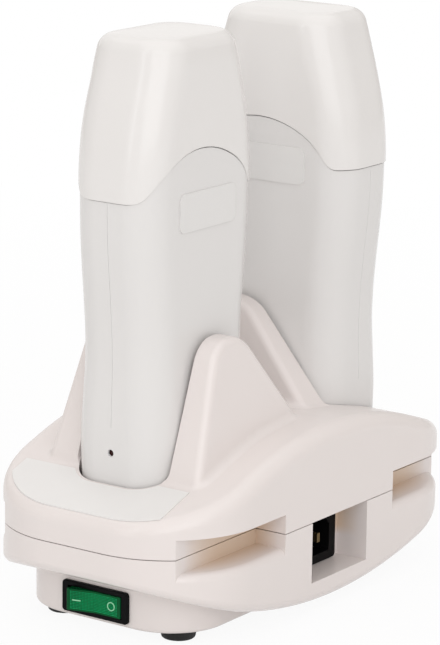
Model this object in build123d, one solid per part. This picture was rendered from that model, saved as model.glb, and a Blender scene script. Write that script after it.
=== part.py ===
from build123d import *
import math
import os

# Double warmer for roll-on wax: a two-part base with two docking wells, and in each well
# a handheld heater with its cartridge, roller and cap. Sizes are in millimetres.
# +Z is up, the switch faces -Y and the mains inlet faces +X. The feet stand on z = 0.

# Base outline and heights
base_length = 219.0
base_width = 118.0
base_corner = 44.0
foot_height = 5.0
parting_height = 41.0
seam_gap = 0.4
deck_crown = 80.0
deck_arc = 190.0
deck_arc_inset = 5.5
hull_low = 4.5
hull_end_rise = 24.5
deck_edge = 7.0
hull_edge = 4.5
shell_wall = 2.6

# Core of the base, behind the finger grips
core_width = 88.0
core_corner = 13.0
grip_start = 41.6
grip_rise = 8.5
grip_drop = 6.5
grip_lip = 3.5

# Pedestal under the hull
pedestal_end_step = 16.5
pedestal_width = 90.0
pedestal_corner = 26.0
pedestal_edge = 1.5

# Feet and case screws
foot_place_x = 29.6
foot_end_inset = 17.0
foot_top_radius = 8.0
foot_bottom_radius = 7.0
case_screw_radius = 1.7
case_screw_head = 3.2
case_screw_head_height = 2.2
case_screw_length = 28.0
case_boss_radius = 3.8
case_boss_meet = 26.0
screw_clearance = 0.05
screw_hole_clearance = 0.3
foot_screw_clearance = 0.6

# Docking wells
station_end_distance = 61.5
dock_clearance = 0.8
dock_wall = 2.2
dock_plate_thickness = 3.0
seat_gap = 0.3
dock_boss_radius = 3.4
dock_boss_offset = 3.6
dock_screw_radius = 1.4
dock_screw_head = 2.6
dock_screw_length = 12.0
contact_pitch = 20.0
contact_radius = 2.0
contact_reach = 9.0
contact_tail = 8.0
contact_flange = 3.2

# Support fins beside each well, seen along the fin
fin_top = 121.5
fin_foot_height = 75.0
fin_outer_foot = 37.5
fin_outer_top = 33.0
fin_edge = 3.5
fin_foot_round = 4.0
side_fin_steep_top = 8.0
side_fin_steep_foot = 25.0
side_fin_shallow_top = 11.5
side_fin_shallow_foot = 51.0
side_fin_steep_round = 13.0
side_fin_shallow_round = 18.0
mid_fin_shift = 14.0
back_fin_top = 12.0
back_fin_foot = 16.0
back_fin_round = 7.0

# Handheld heater: widths across the broad face and depths across the narrow face
handset_bottom = 44.0
handset_height = 161.0
handset_low_width = 72.2
handset_low_depth = 45.8
handset_waist_width = 70.6
handset_waist_depth = 43.0
handset_top_width = 79.2
handset_top_depth = 43.0
handset_corner = 15.0
handset_wall = 2.2
half_gap = 0.25
handset_edge = 1.5

# The heater's sections from bottom to top: share of its height, width, depth
handset_shape = [
    (0.0, 71.0, 43.5),
    (0.112, 71.8, 45.0),
    (0.224, handset_low_width, handset_low_depth),
    (0.323, 71.3, 44.6),
    (0.416, handset_waist_width, handset_waist_depth),
    (0.509, 71.6, 42.8),
    (0.596, 73.8, handset_top_depth),
    (0.677, 76.4, handset_top_depth),
    (0.758, 78.4, handset_top_depth),
    (0.876, handset_top_width, handset_top_depth),
    (1.0, handset_top_width, handset_top_depth),
]

# Cap with its arched lower edge
cap_overlap = 24.5
arch_half_width = 36.5
arch_rise = 23.1
arch_shoulder_width = 27.0
arch_shoulder_rise = 12.0
arch_round = 45.0
arch_shoulder_round = 14.0
arch_foot_round = 2.5
cap_gap = 0.35
cap_proud = 0.5
cap_hidden_reach = 12.0
cap_wall = 1.8
cap_headroom = 27.0
cap_top_width = 55.5
cap_top_depth = 42.6
cap_top_round = 12.0
neck_wall = 1.7

# The cap's sections above its straight sides: depth below its top, width
cap_taper = [(60.0, handset_top_width + 2 * cap_proud), (43.0, 76.6), (26.0, 68.6), (13.0, 61.5)]

# Parts inside the heater
tray_wall = 0.8
tray_drop = 109.0
tray_flange_width = 70.0
tray_flange_depth = 38.4
tray_flange_thickness = 1.2
plug_width = 36.0
plug_depth = 20.0
plug_height = 13.0
plug_flange = 2.0
plug_flange_thickness = 1.8
plug_clearance = 0.2
sleeve_wall = 0.8
sleeve_clearance = 0.3
heater_length = 44.0
heater_thickness = 3.5
heater_width = 11.0
thermostat_height = 16.0
half_screw_place = 22.0
half_screw_rise = 13.0
half_screw_radius = 1.4
half_screw_head = 2.6
half_screw_length = 26.0
half_boss_radius = 3.4
pilot_rise = 31.2
pilot_radius = 1.5
pilot_lens_length = 5.0
wire_radius = 0.9

# Label plates
label_width = 39.0
label_height = 16.0
label_offsets = (-5.3, 0.5)
label_thickness = 0.5
label_corner = 3.0
deck_plate_margin = 3.8
deck_plate_depth = 29.5
deck_plate_left = 47.0
deck_plate_right = 37.0
deck_plate_thickness = 0.5

# Roll-on cartridge
cartridge_width = 54.0
cartridge_depth = 33.0
cartridge_corner = 12.0
cartridge_gap = 0.3
cartridge_rise = 3.0
cartridge_wall = 1.2
head_width = 52.6
head_depth = 28.0
head_height = 9.0
roller_radius = 9.5
roller_gap = 0.5
roller_rise = 12.0
roller_end_gap = 0.3
cheek_thickness = 2.8
cheek_radius = 7.0
journal_radius = 2.5
journal_clearance = 0.05

# Rocker switch in the pedestal's end
bezel_width = 33.8
bezel_height = 13.6
bezel_thickness = 1.6
bezel_corner = 1.6
bezel_place_height = 13.7
switch_body_width = 30.2
switch_body_height = 11.6
switch_body_depth = 15.0
switch_window_width = 27.8
switch_window_height = 9.8
rocker_gap = 0.3
rocker_half_width = 12.8
rocker_pivot_depth = 5.0
rocker_tilt = 7.5
rocker_proud = 0.4
rocker_skirt = 4.0
rocker_hub_radius = 2.4
rocker_pin_radius = 1.0
rocker_pin_clearance = 0.05
switch_floor = 2.4
lamp_radius = 1.6
lamp_length = 9.0
terminal_width = 6.3
terminal_thickness = 0.8
terminal_length = 9.0
terminal_pitch = 11.0

# Mains inlet in the long side
inlet_recess_width = 42.4
inlet_recess_floor = 14.5
inlet_flange_width = 34.0
inlet_flange_height = 24.0
inlet_flange_thickness = 1.6
inlet_body_width = 28.0
inlet_body_height = 20.0
inlet_body_depth = 19.0
inlet_mouth_width = 24.5
inlet_mouth_height = 16.5
inlet_mouth_depth = 16.0
inlet_mouth_chamfer = 4.5
inlet_pin_thickness = 2.0
inlet_pin_height = 4.0
inlet_pin_length = 14.0
inlet_pin_tail = 8.0
inlet_pin_pitch = 7.0
inlet_pin_stagger = 2.0

# Terminal block and wiring inside the base
block_width = 18.0
block_length = 30.0
block_height = 11.0
block_foot_height = 2.0
block_screw_radius = 1.6
block_screw_height = 1.2
block_ways = 3

# Derived places
inside_x = 0.5 * core_width - shell_wall
core_face = 0.5 * core_width
deck_arc_reach = 0.5 * base_length - base_corner - deck_arc_inset
hull_arc = 0.5 * (hull_end_rise + 0.25 * base_length ** 2 / hull_end_rise)
pedestal_length = base_length - 2 * pedestal_end_step
end_face = 0.5 * pedestal_length
foot_place_y = end_face - foot_end_inset
station_spacing = base_length - 2 * station_end_distance
deck_plate_back = 0.5 * base_length - deck_plate_depth
handset_top_height = handset_bottom + handset_height
half_screw_height = handset_bottom + half_screw_rise
pilot_height = handset_bottom + pilot_rise
tray_floor = handset_top_height - tray_drop
cap_edge_height = handset_top_height - cap_overlap
arch_peak = cap_edge_height + arch_rise
arch_shoulder_height = cap_edge_height + arch_shoulder_rise
label_heights = [cap_edge_height + offset for offset in label_offsets]
cartridge_shoulder = handset_top_height + cartridge_rise
roller_axis_height = cartridge_shoulder + roller_rise
cap_top_height = roller_axis_height + cap_headroom
dock_floor = handset_bottom - seat_gap
well_width = handset_low_width + 2 * dock_clearance
well_depth = handset_low_depth + 2 * dock_clearance
well_corner = handset_corner + dock_clearance
cap_width = handset_top_width + 2 * cap_proud
cap_depth = handset_top_depth + 2 * cap_proud
neck_inset = cap_wall + cap_gap
chamber_width = cartridge_width + 2 * cartridge_gap
chamber_depth = cartridge_depth + 2 * cartridge_gap
chamber_corner = cartridge_corner + cartridge_gap
tray_width = chamber_width + 2 * tray_wall
tray_depth = chamber_depth + 2 * tray_wall
cartridge_bottom = tray_floor + tray_wall + cartridge_gap
screw_places = [(x, y) for x in (-foot_place_x, foot_place_x) for y in (-foot_place_y, foot_place_y)]
tall = 400.0


def prism(width_x, width_y, corner, low, high):
    return Pos(0, 0, low) * extrude(RectangleRounded(width_x, width_y, corner), high - low)


def block(x_range, y_range, z_range):
    sizes = [high - low for low, high in (x_range, y_range, z_range)]
    middle = [0.5 * (high + low) for low, high in (x_range, y_range, z_range)]
    return Pos(*middle) * Box(*sizes)


def post(x, y, low, high, radius):
    return Pos(x, y, 0.5 * (low + high)) * Cylinder(radius, high - low)


def rod_x(low, high, y, z, radius):
    return Pos(0.5 * (low + high), y, z) * Rot(0, 90, 0) * Cylinder(radius, high - low)


def rod_y(low, high, x, z, radius):
    return Pos(x, 0.5 * (low + high), z) * Rot(90, 0, 0) * Cylinder(radius, high - low)


def save(name, *solids):
    shape = solids[0] if len(solids) == 1 else Compound(children=list(solids))
    export_step(shape, f"parts/{name}.step")


# Side view of the base: an arched deck over a hull that curves the other way
def lens(inset=0.0):
    slope = math.asin(deck_arc_reach / deck_arc)
    arc_centre = deck_crown - deck_arc
    radius = deck_arc - inset
    reach = 0.5 * base_length + 20
    arc_end = (radius * math.sin(slope), arc_centre + radius * math.cos(slope))
    far_top = arc_end[1] - (reach - arc_end[0]) * math.tan(slope)
    hull_radius = hull_arc - inset
    hull_centre = hull_low + hull_arc
    far_bottom = hull_centre - math.sqrt(hull_radius ** 2 - reach ** 2)
    outline = Wire([
        ThreePointArc((-arc_end[0], arc_end[1]), (0, arc_centre + radius), arc_end),
        Line(arc_end, (reach, far_top)),
        Line((reach, far_top), (reach, far_bottom)),
        ThreePointArc((reach, far_bottom), (0, hull_centre - hull_radius), (-reach, far_bottom)),
        Line((-reach, far_bottom), (-reach, far_top)),
        Line((-reach, far_top), (-arc_end[0], arc_end[1])),
    ])
    return extrude(Plane.YZ * Face(outline), base_width, both=True)


def rim_edges(body, above):
    chosen = []
    for edge in body.edges():
        middle = edge.center()
        if (middle.Z > parting_height) != above:
            continue
        ends = edge.vertices()
        upright = len(ends) == 2 and math.hypot(ends[0].X - ends[1].X, ends[0].Y - ends[1].Y) < 0.01
        across = edge.geom_type == GeomType.LINE and abs(middle.X) < 0.01
        seam = across and abs(middle.Y) < 0.5 * base_length - 1
        if not upright and not seam:
            chosen.append(edge)
    return chosen


def plain_envelope():
    return prism(base_width, base_length, base_corner, 0, tall) & lens()


def envelope():
    body = fillet(rim_edges(plain_envelope(), True), deck_edge)
    return fillet(rim_edges(body, False), hull_edge)


def core(inset, low, high):
    width = core_width - 2 * inset
    length = base_length + 2 - 2 * inset
    return prism(width, length, core_corner - inset, low, high)


def full_plan(inset, low, high):
    return prism(base_width - 2 * inset, base_length - 2 * inset, base_corner - inset, low, high)


def grip_cut():
    low = parting_height - grip_drop
    high = parting_height + grip_rise
    reach = base_length
    ends = block((-tall, tall), (grip_start, reach), (low, high))
    ends += block((-tall, tall), (-reach, -grip_start), (low, high))
    return ends - core(0, low - 1, high + 1)


# The hull below the grips, with its upper rim rounded all the way round, and what stands above it
def hull_with_grips(high):
    grip_floor = parting_height - grip_drop
    ledge = plain_envelope() & block((-tall, tall), (-tall, tall), (0, grip_floor))
    ledge = fillet(ledge.faces().sort_by(Axis.Z)[-1].edges(), grip_lip)
    full = envelope()
    middle = core(0, 0, high) + block((-tall, tall), (-grip_start, grip_start), (0, high))
    return (full & ledge) + (full & middle)


# Places of the two stations: the second is the first turned a quarter turn
def station(shape, number):
    if number == 1:
        return Pos(0, -0.5 * station_spacing, 0) * shape
    return Pos(0, 0.5 * station_spacing, 0) * Rot(0, 0, -90) * shape


def fin(steep, shallow, rounds):
    steep_top, steep_foot = steep
    shallow_top, shallow_foot = shallow
    drop = fin_top - fin_foot_height
    low = fin_foot_height - 30
    steep_slope = (steep_foot - steep_top) / drop
    shallow_slope = (shallow_foot - shallow_top) / drop
    left = (-steep_foot - 30 * steep_slope, low)
    right = (shallow_foot + 30 * shallow_slope, low)
    outline = FilletPolyline(left, (-steep_top, fin_top), (shallow_top, fin_top), right, radius=rounds)
    side = Face(Wire(outline.edges() + [Line(right, left)]))
    body = extrude(Plane.YZ * side, 2 * fin_outer_foot, both=True)
    lean = (fin_outer_foot - fin_outer_top) / (fin_top - deck_crown)
    high = fin_top + 10
    wedge = Polygon(
        (0, low - 1),
        (fin_outer_foot + lean * (deck_crown - low + 1), low - 1),
        (fin_outer_foot + lean * (deck_crown - high), high),
        (0, high),
        align=None,
    )
    body &= extrude(Plane.XZ * wedge, tall, both=True)
    outer = [
        edge for edge in body.edges()
        if edge.center().X > fin_outer_top - 3 and edge.center().Z > low + 1
    ]
    return fillet(outer, fin_edge) - block((0, 0.5 * well_depth), (-tall, tall), (0, tall))


def station_fins(number):
    rounds = [side_fin_steep_round, side_fin_shallow_round]
    if number == 1:
        steep = (side_fin_steep_top, side_fin_steep_foot)
        shallow = (side_fin_shallow_top, side_fin_shallow_foot)
        one = fin(steep, shallow, rounds)
        return one + mirror(one, about=Plane.YZ)
    steep = (side_fin_steep_top + mid_fin_shift, side_fin_steep_foot + mid_fin_shift)
    shallow = (side_fin_shallow_top - mid_fin_shift, side_fin_shallow_foot - mid_fin_shift)
    back = (back_fin_top, back_fin_foot)
    front_fin = fin(steep, shallow, rounds)
    back_fin = mirror(fin(back, back, [back_fin_round, back_fin_round]), about=Plane.YZ)
    return front_fin + back_fin


def well(extra, low, high):
    return prism(well_depth + 2 * extra, well_width + 2 * extra, well_corner + extra, low, high)


def dock_boss_place():
    return 0.5 * well_depth + dock_boss_offset


# The deck with its four fins, each softly rounded where it stands on the deck
def deck_with_fins():
    body = envelope()
    fins = [station(station_fins(number), number) - lens(shell_wall) for number in (1, 2)]
    for pair in fins:
        body += pair
    outer, inner = lens(-0.05), lens(0.05)
    feet = []
    for edge in body.edges():
        middle = edge @ 0.5
        on_deck = outer.is_inside(middle) and not inner.is_inside(middle)
        if on_deck and any(pair.distance_to(middle) < 0.01 for pair in fins):
            feet.append(edge)
    return fillet(feet, fin_foot_round)


def upper_shell():
    low = parting_height + 0.5 * seam_gap
    body = deck_with_fins() & block((-tall, tall), (-tall, tall), (low, tall))
    body -= grip_cut()
    roof = lens(shell_wall)
    above_grip = parting_height + grip_rise + shell_wall
    cavity = core(shell_wall, 0, tall) & roof & full_plan(shell_wall, 0, tall)
    cavity += full_plan(shell_wall, above_grip, tall) & roof
    panel = full_plan(shell_wall, parting_height + shell_wall, tall) & roof
    cavity += panel & block((-tall, tall), (shell_wall - grip_start, grip_start - shell_wall), (0, tall))
    body -= cavity
    under_deck = lens(0.5 * shell_wall)
    for number in (1, 2):
        body += station(well(dock_wall, dock_floor, tall), number) & under_deck
        for side in (-1, 1):
            boss = post(side * dock_boss_place(), 0, dock_floor, tall, dock_boss_radius)
            body += station(boss, number) & under_deck
    for x, y in screw_places:
        body += post(x, y, case_boss_meet, tall, case_boss_radius) & under_deck
    for number in (1, 2):
        body -= station(well(0, 0, tall), number)
        for side in (-1, 1):
            hole = post(side * dock_boss_place(), 0, 0, dock_floor + dock_screw_length,
                        dock_screw_radius + screw_clearance)
            body -= station(hole, number)
    screw_top = foot_height + case_screw_length
    for x, y in screw_places:
        body -= post(x, y, 0, screw_top + 1, case_screw_radius + screw_clearance)
    return body


def pedestal(inset, low, high):
    width = pedestal_width - 2 * inset
    length = pedestal_length - 2 * inset
    return prism(width, length, pedestal_corner - inset, low, high)


def inlet_recess():
    top = parting_height + 1
    half = 0.5 * inlet_recess_width
    return block((core_face, tall), (-half, half), (inlet_recess_floor, top))


def inlet_middle():
    return inlet_recess_floor + 0.4 + 0.5 * inlet_flange_height


def lower_shell():
    high = parting_height - 0.5 * seam_gap
    foot = pedestal(0, foot_height, parting_height - grip_drop - grip_lip)
    foot = fillet(foot.edges().group_by(Axis.Z)[0], pedestal_edge)
    body = hull_with_grips(high) + foot
    roof = lens(shell_wall)
    below_grip = parting_height - grip_drop - shell_wall
    cavity = core(shell_wall, 0, tall) & roof & full_plan(shell_wall, 0, tall)
    cavity += full_plan(shell_wall, 0, below_grip) & roof
    panel = full_plan(shell_wall, 0, tall) & roof
    cavity += panel & block((-tall, tall), (shell_wall - grip_start, grip_start - shell_wall), (0, tall))
    cavity += pedestal(shell_wall, foot_height + shell_wall, parting_height - grip_drop - shell_wall)
    body -= cavity
    half = 0.5 * inlet_recess_width + shell_wall
    niche = block((inside_x, tall), (-half, half), (inlet_recess_floor - shell_wall, high))
    body += niche & envelope()
    body -= inlet_recess()
    body -= block((inside_x - 1, core_face + 1),
                  (-0.5 * inlet_body_width - plug_clearance, 0.5 * inlet_body_width + plug_clearance),
                  (inlet_middle() - 0.5 * inlet_body_height - plug_clearance,
                   inlet_middle() + 0.5 * inlet_body_height + plug_clearance))
    pad_half = 0.5 * bezel_width + 0.6
    pad = block((-pad_half, pad_half), (-end_face, -end_face + 2 * shell_wall),
                (foot_height + pedestal_edge, bezel_place_height + 0.5 * bezel_height))
    body += pad
    body -= block((-0.5 * switch_body_width - plug_clearance, 0.5 * switch_body_width + plug_clearance),
                  (-end_face - 1, -end_face + switch_body_depth + shell_wall),
                  (bezel_place_height - 0.5 * switch_body_height - plug_clearance,
                   bezel_place_height + 0.5 * switch_body_height + plug_clearance))
    for x, y in screw_places:
        body += post(x, y, foot_height, case_boss_meet, case_boss_radius)
        body -= post(x, y, 0, case_boss_meet + 1, case_screw_radius + screw_hole_clearance)
    return body


def rubber_foot(x, y):
    body = Pos(x, y, 0.5 * foot_height) * Cone(foot_bottom_radius, foot_top_radius, foot_height)
    body = fillet(body.edges().group_by(Axis.Z)[0], 1.0)
    body -= post(x, y, foot_height - case_screw_head_height - foot_screw_clearance, foot_height,
                 case_screw_head + foot_screw_clearance)
    body -= post(x, y, 0, foot_height, case_screw_head + foot_screw_clearance)
    return body


def case_screw(x, y):
    head = post(x, y, foot_height - case_screw_head_height, foot_height, case_screw_head)
    shank = post(x, y, foot_height, foot_height + case_screw_length, case_screw_radius)
    slot = block((x - case_screw_head, x + case_screw_head), (y - 0.4, y + 0.4),
                 (foot_height - case_screw_head_height - 1, foot_height - case_screw_head_height + 0.9))
    cross = block((x - 0.4, x + 0.4), (y - case_screw_head, y + case_screw_head),
                  (foot_height - case_screw_head_height - 1, foot_height - case_screw_head_height + 0.9))
    return head + shank - slot - cross


def dock_plate():
    low = dock_floor - dock_plate_thickness
    body = well(dock_wall, low, dock_floor)
    ear = dock_boss_radius + 0.2
    place = dock_boss_place()
    body += block((-place, place), (-ear, ear), (low, dock_floor))
    for side in (-1, 1):
        body += post(side * place, 0, low, dock_floor, ear)
        body -= post(side * place, 0, low - 1, dock_floor + 1, dock_screw_radius + screw_hole_clearance)
        body -= post(0, side * 0.5 * contact_pitch, low - 1, dock_floor + 1,
                     contact_radius + screw_clearance)
    return body


def dock_contact(side):
    y = side * 0.5 * contact_pitch
    low = dock_floor - dock_plate_thickness
    body = post(0, y, low - contact_tail, dock_floor + contact_reach, contact_radius)
    body = fillet(body.edges().group_by(Axis.Z)[-1], 0.9)
    return body + post(0, y, low - 1.0, low, contact_flange)


def dock_screw(side):
    x = side * dock_boss_place()
    low = dock_floor - dock_plate_thickness
    head = post(x, 0, low - 1.6, low, dock_screw_head)
    return head + post(x, 0, low, dock_floor + dock_screw_length - 2, dock_screw_radius)


def lofted(sections, corner, inset):
    faces = [
        Pos(0, 0, z) * RectangleRounded(depth - 2 * inset, width - 2 * inset, corner - inset)
        for z, width, depth in sections
    ]
    return loft(faces)


def handset_form(inset=0.0):
    sections = [(handset_bottom + share * handset_height, width, depth)
                for share, width, depth in handset_shape]
    return lofted(sections, handset_corner, inset)


def cap_form(inset=0.0):
    sections = [(cap_edge_height - cap_hidden_reach, cap_width, cap_depth)]
    sections += [(cap_top_height - drop, width, cap_depth) for drop, width in cap_taper]
    sections += [(cap_top_height - inset, cap_top_width, cap_top_depth)]
    body = lofted(sections, handset_corner + cap_proud, inset)
    return fillet(body.edges().group_by(Axis.Z)[-1], cap_top_round - 0.8 * inset)


# Everything above the arch, which is the lower edge of the cap
def above_arch(offset):
    far = handset_top_width
    edge = cap_edge_height + offset
    shoulder = arch_shoulder_height + offset
    outline = FilletPolyline(
        (-far, edge),
        (-arch_half_width, edge),
        (-arch_shoulder_width, shoulder),
        (0, arch_peak + offset),
        (arch_shoulder_width, shoulder),
        (arch_half_width, edge),
        (far, edge),
        radius=[arch_foot_round, arch_shoulder_round, arch_round, arch_shoulder_round, arch_foot_round],
    )
    top = Polyline((far, edge), (far, tall), (-far, tall), (-far, edge))
    face = Face(Wire(outline.edges() + top.edges()))
    return extrude(Plane.YZ * face, handset_top_depth, both=True)


def handset_solid():
    skin = handset_form()
    skin = fillet(skin.edges().group_by(Axis.Z)[0], handset_edge)
    skin -= above_arch(0)
    neck = cap_form(neck_inset) & block((-tall, tall), (-tall, tall), (0, handset_top_height))
    neck &= block((-tall, tall), (-tall, tall), (cap_edge_height - 8, handset_top_height))
    body = skin + neck
    low_room = handset_form(handset_wall)
    low_room &= block((-tall, tall), (-tall, tall), (handset_bottom + handset_wall, cap_edge_height - 10))
    body -= low_room
    body -= cap_form(neck_inset + neck_wall) & block((-tall, tall), (-tall, tall), (0, tall))
    plug_hole = prism(plug_depth + 2 * plug_clearance, plug_width + 2 * plug_clearance, 3,
                      handset_bottom - 1, handset_bottom + handset_wall + 1)
    body -= plug_hole
    for side in (-1, 1):
        place = side * half_screw_place
        reach = 0.5 * handset_low_depth
        boss = rod_x(-reach, reach, place, half_screw_height, half_boss_radius) & handset_form(0.4)
        body += boss
        body -= rod_x(-reach - 1, half_screw_length - reach, place, half_screw_height,
                      half_screw_radius + screw_clearance)
        body -= rod_x(-reach - 1, 4 - reach, place, half_screw_height,
                      half_screw_head + screw_hole_clearance)
    pilot_wall = 0.5 * handset_low_width
    body -= rod_y(-pilot_wall - 1, -pilot_wall + handset_wall + 1, 0, pilot_height, pilot_radius)
    return body


def handset_half(whole, side):
    if side > 0:
        return whole & block((0.5 * half_gap, tall), (-tall, tall), (0, tall))
    return whole & block((-tall, -0.5 * half_gap), (-tall, tall), (0, tall))


def half_screw(side):
    place = side * half_screw_place
    reach = 0.5 * handset_low_depth
    head = rod_x(2.0 - reach, 4 - reach, place, half_screw_height, half_screw_head)
    return head + rod_x(4 - reach, half_screw_length - reach - 1, place, half_screw_height,
                        half_screw_radius)


def handset_plug():
    low = handset_bottom + 0.3
    body = prism(plug_depth, plug_width, 3, low, handset_bottom + plug_height)
    seat = handset_bottom + handset_wall
    body += prism(plug_depth + 2 * plug_flange, plug_width + 2 * plug_flange, 3, seat,
                  seat + plug_flange_thickness)
    outer = contact_radius + sleeve_clearance + sleeve_wall
    for side in (-1, 1):
        body -= post(0, side * 0.5 * contact_pitch, 0, tall, outer + screw_clearance)
    return body


def handset_sleeve(side):
    y = side * 0.5 * contact_pitch
    inner = contact_radius + sleeve_clearance
    low = handset_bottom + 0.3
    high = handset_bottom + plug_height
    body = post(0, y, low, high + 2, inner + sleeve_wall)
    return body - post(0, y, low - 1, high, inner)


def heater_tray():
    top = handset_top_height
    body = prism(tray_depth, tray_width, chamber_corner + tray_wall, tray_floor, top)
    body += prism(tray_flange_depth, tray_flange_width, handset_corner, top, top + tray_flange_thickness)
    return body - prism(chamber_depth, chamber_width, chamber_corner, tray_floor + tray_wall, tall)


def heater_element():
    face = 0.5 * tray_width
    low = tray_floor + 6
    return block((-0.5 * heater_width, 0.5 * heater_width), (-face - heater_thickness, -face),
                 (low, low + heater_length))


def thermostat():
    face = 0.5 * tray_width
    low = tray_floor + 10
    body = block((-0.5 * heater_width, 0.5 * heater_width), (face, face + heater_thickness),
                 (low, low + thermostat_height))
    for x in (-3, 3):
        body += block((x - 1.2, x + 1.2), (face + 1.0, face + 1.8), (low - 6, low))
    return body


def pilot_lens():
    inner = 0.5 * handset_low_width - handset_wall
    body = rod_y(-inner - 1.2, -inner, 0, pilot_height, pilot_radius - 0.1)
    return body + rod_y(-inner + 0.3, -inner + 0.3 + pilot_lens_length, 0, pilot_height,
                        pilot_radius + 0.8) + rod_y(-inner - 0.1, -inner + 0.4, 0, pilot_height, 1.2)


def tube(points, radii, radius):
    path = FilletPolyline(*points, radius=radii)
    start = Plane(origin=path @ 0, z_dir=path % 0)
    return sweep(start * Circle(radius), path=path)


def handset_wire(side):
    y = side * 0.5 * contact_pitch
    start = handset_bottom + plug_height + 2
    face = 0.5 * tray_width
    if side < 0:
        end = (-4, -face - 0.5 * heater_thickness, tray_floor + 6)
        knee = 12
    else:
        end = (3, face + 1.4, tray_floor + 4)
        knee = 16
    points = [(0, y, start), (0, y, start + knee), (end[0], end[1], start + knee), end]
    return tube(points, [3.5, 3.5], wire_radius)


def label_plate(number):
    face = RectangleRounded(label_width, label_height, label_corner)
    slab = extrude(Plane.YZ * face, handset_top_depth)
    slab = Pos(0, 0, label_heights[number - 1]) * slab
    skin = handset_form(-label_thickness) - handset_form()
    return slab & skin


def deck_plate():
    front = full_plan(deck_plate_margin, 0, tall)
    front &= block((-deck_plate_left, deck_plate_right), (-tall, -deck_plate_back), (0, tall))
    front -= station(well(1.5, 0, tall), 1)
    front &= block((-tall, tall), (-tall, tall), (parting_height + grip_rise, deck_crown + 5))
    front &= lens(-deck_plate_thickness)
    return front - lens(0)


def cap():
    body = cap_form() & above_arch(cap_gap)
    return body - cap_form(cap_wall)


def cartridge_outline(inset, low, high):
    return prism(cartridge_depth - 2 * inset, cartridge_width - 2 * inset, cartridge_corner - inset,
                 low, high)


def head_outline(inset, low, high):
    return prism(head_depth - 2 * inset, head_width - 2 * inset, cartridge_corner - 2 - inset, low, high)


def roller_half():
    return 0.5 * head_width - cheek_thickness - roller_end_gap


def trough():
    reach = roller_half() + roller_end_gap
    return rod_y(-reach, reach, 0, roller_axis_height, roller_radius + roller_gap)


def wax_room(inset):
    top = roller_axis_height - roller_radius - roller_gap - 2.0 - inset
    room = cartridge_outline(cartridge_wall + inset, cartridge_bottom + cartridge_wall + inset,
                             cartridge_shoulder - cartridge_wall - inset)
    slot = prism(10 - 2 * inset, 40 - 2 * inset, 3, cartridge_shoulder - 4, top + 4)
    return room + slot


def cartridge_body():
    body = cartridge_outline(0, cartridge_bottom, cartridge_shoulder)
    body = fillet(body.edges().group_by(Axis.Z)[0], 1.5)
    body = fillet(body.edges().group_by(Axis.Z)[-1], 1.0)
    return body - wax_room(0)


def cartridge_head():
    body = head_outline(0, cartridge_shoulder, cartridge_shoulder + head_height)
    for side in (-1, 1):
        outer = side * 0.5 * head_width
        inner = outer - side * cheek_thickness
        low, high = sorted((inner, outer))
        body += block((-cheek_radius, cheek_radius), (low, high), (cartridge_shoulder, roller_axis_height))
        body += rod_y(low, high, 0, roller_axis_height, cheek_radius)
        body -= rod_y(low - 1, high + 1, 0, roller_axis_height, journal_radius + journal_clearance)
    body -= trough()
    slot = prism(10, 40, 3, cartridge_shoulder - 1, tall) & block(
        (-tall, tall), (-tall, tall), (0, roller_axis_height))
    return body - slot


def wax_fill():
    room = cartridge_outline(cartridge_wall, cartridge_bottom + cartridge_wall,
                             cartridge_shoulder - cartridge_wall)
    slot = prism(10, 40, 3, cartridge_shoulder - 4, cartridge_shoulder + 1)
    return room + slot


def roller():
    reach = roller_half()
    body = rod_y(-reach, reach, 0, roller_axis_height, roller_radius)
    body = fillet(body.edges().filter_by(GeomType.CIRCLE), 0.8)
    tip = 0.5 * head_width - 0.3
    return body + rod_y(-tip, tip, 0, roller_axis_height, journal_radius)


def switch_housing():
    front = -end_face - bezel_thickness
    plate = Pos(0, 0, bezel_place_height) * extrude(
        Plane.XZ * RectangleRounded(bezel_width, bezel_height, bezel_corner), bezel_thickness)
    plate = Pos(0, -end_face, 0) * plate
    plate = fillet(plate.edges().group_by(Axis.Y)[0], 0.5)
    back = front + switch_body_depth
    body = plate + block((-0.5 * switch_body_width, 0.5 * switch_body_width), (-end_face, back),
                         (bezel_place_height - 0.5 * switch_body_height,
                          bezel_place_height + 0.5 * switch_body_height))
    body -= block((-0.5 * switch_window_width, 0.5 * switch_window_width),
                  (front - 1, back - switch_floor),
                  (bezel_place_height - 0.5 * switch_window_height,
                   bezel_place_height + 0.5 * switch_window_height))
    pin_y = front + rocker_pivot_depth
    body -= post(0, pin_y, bezel_place_height - 0.5 * switch_body_height + 0.3,
                 bezel_place_height + 0.5 * switch_body_height - 0.3, rocker_pin_radius)
    return body


def rocker_pivot():
    return -end_face - bezel_thickness + rocker_pivot_depth


# The rocker is drawn level about its pivot, then tilted to the pressed side
def switch_rocker():
    tilt = math.radians(rocker_tilt)
    rise = (rocker_pivot_depth + rocker_proud + rocker_half_width * math.sin(tilt)) / math.cos(tilt)
    middle = rise - rocker_half_width * math.tan(tilt)
    height = switch_window_height - 2 * rocker_gap
    outline = Polygon(
        (-rocker_half_width, -rise),
        (0, -middle),
        (rocker_half_width, -rise),
        (rocker_half_width - 0.6, -rise + rocker_skirt),
        (rocker_hub_radius, 0.6),
        (-rocker_hub_radius, 0.6),
        (-rocker_half_width + 0.6, -rise + rocker_skirt),
        align=None,
    )
    body = extrude(outline, height)
    body += Pos(0, 0, 0.5 * height) * Cylinder(rocker_hub_radius, height)
    body -= Pos(0, 0, 0.5 * height) * Cylinder(rocker_pin_radius + rocker_pin_clearance, 2 * height)
    body = fillet(body.edges().filter_by(Axis.Z).group_by(Axis.Y)[0], 0.4)
    place = Pos(0, rocker_pivot(), bezel_place_height - 0.5 * height)
    return place * Rot(0, 0, rocker_tilt) * body


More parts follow.
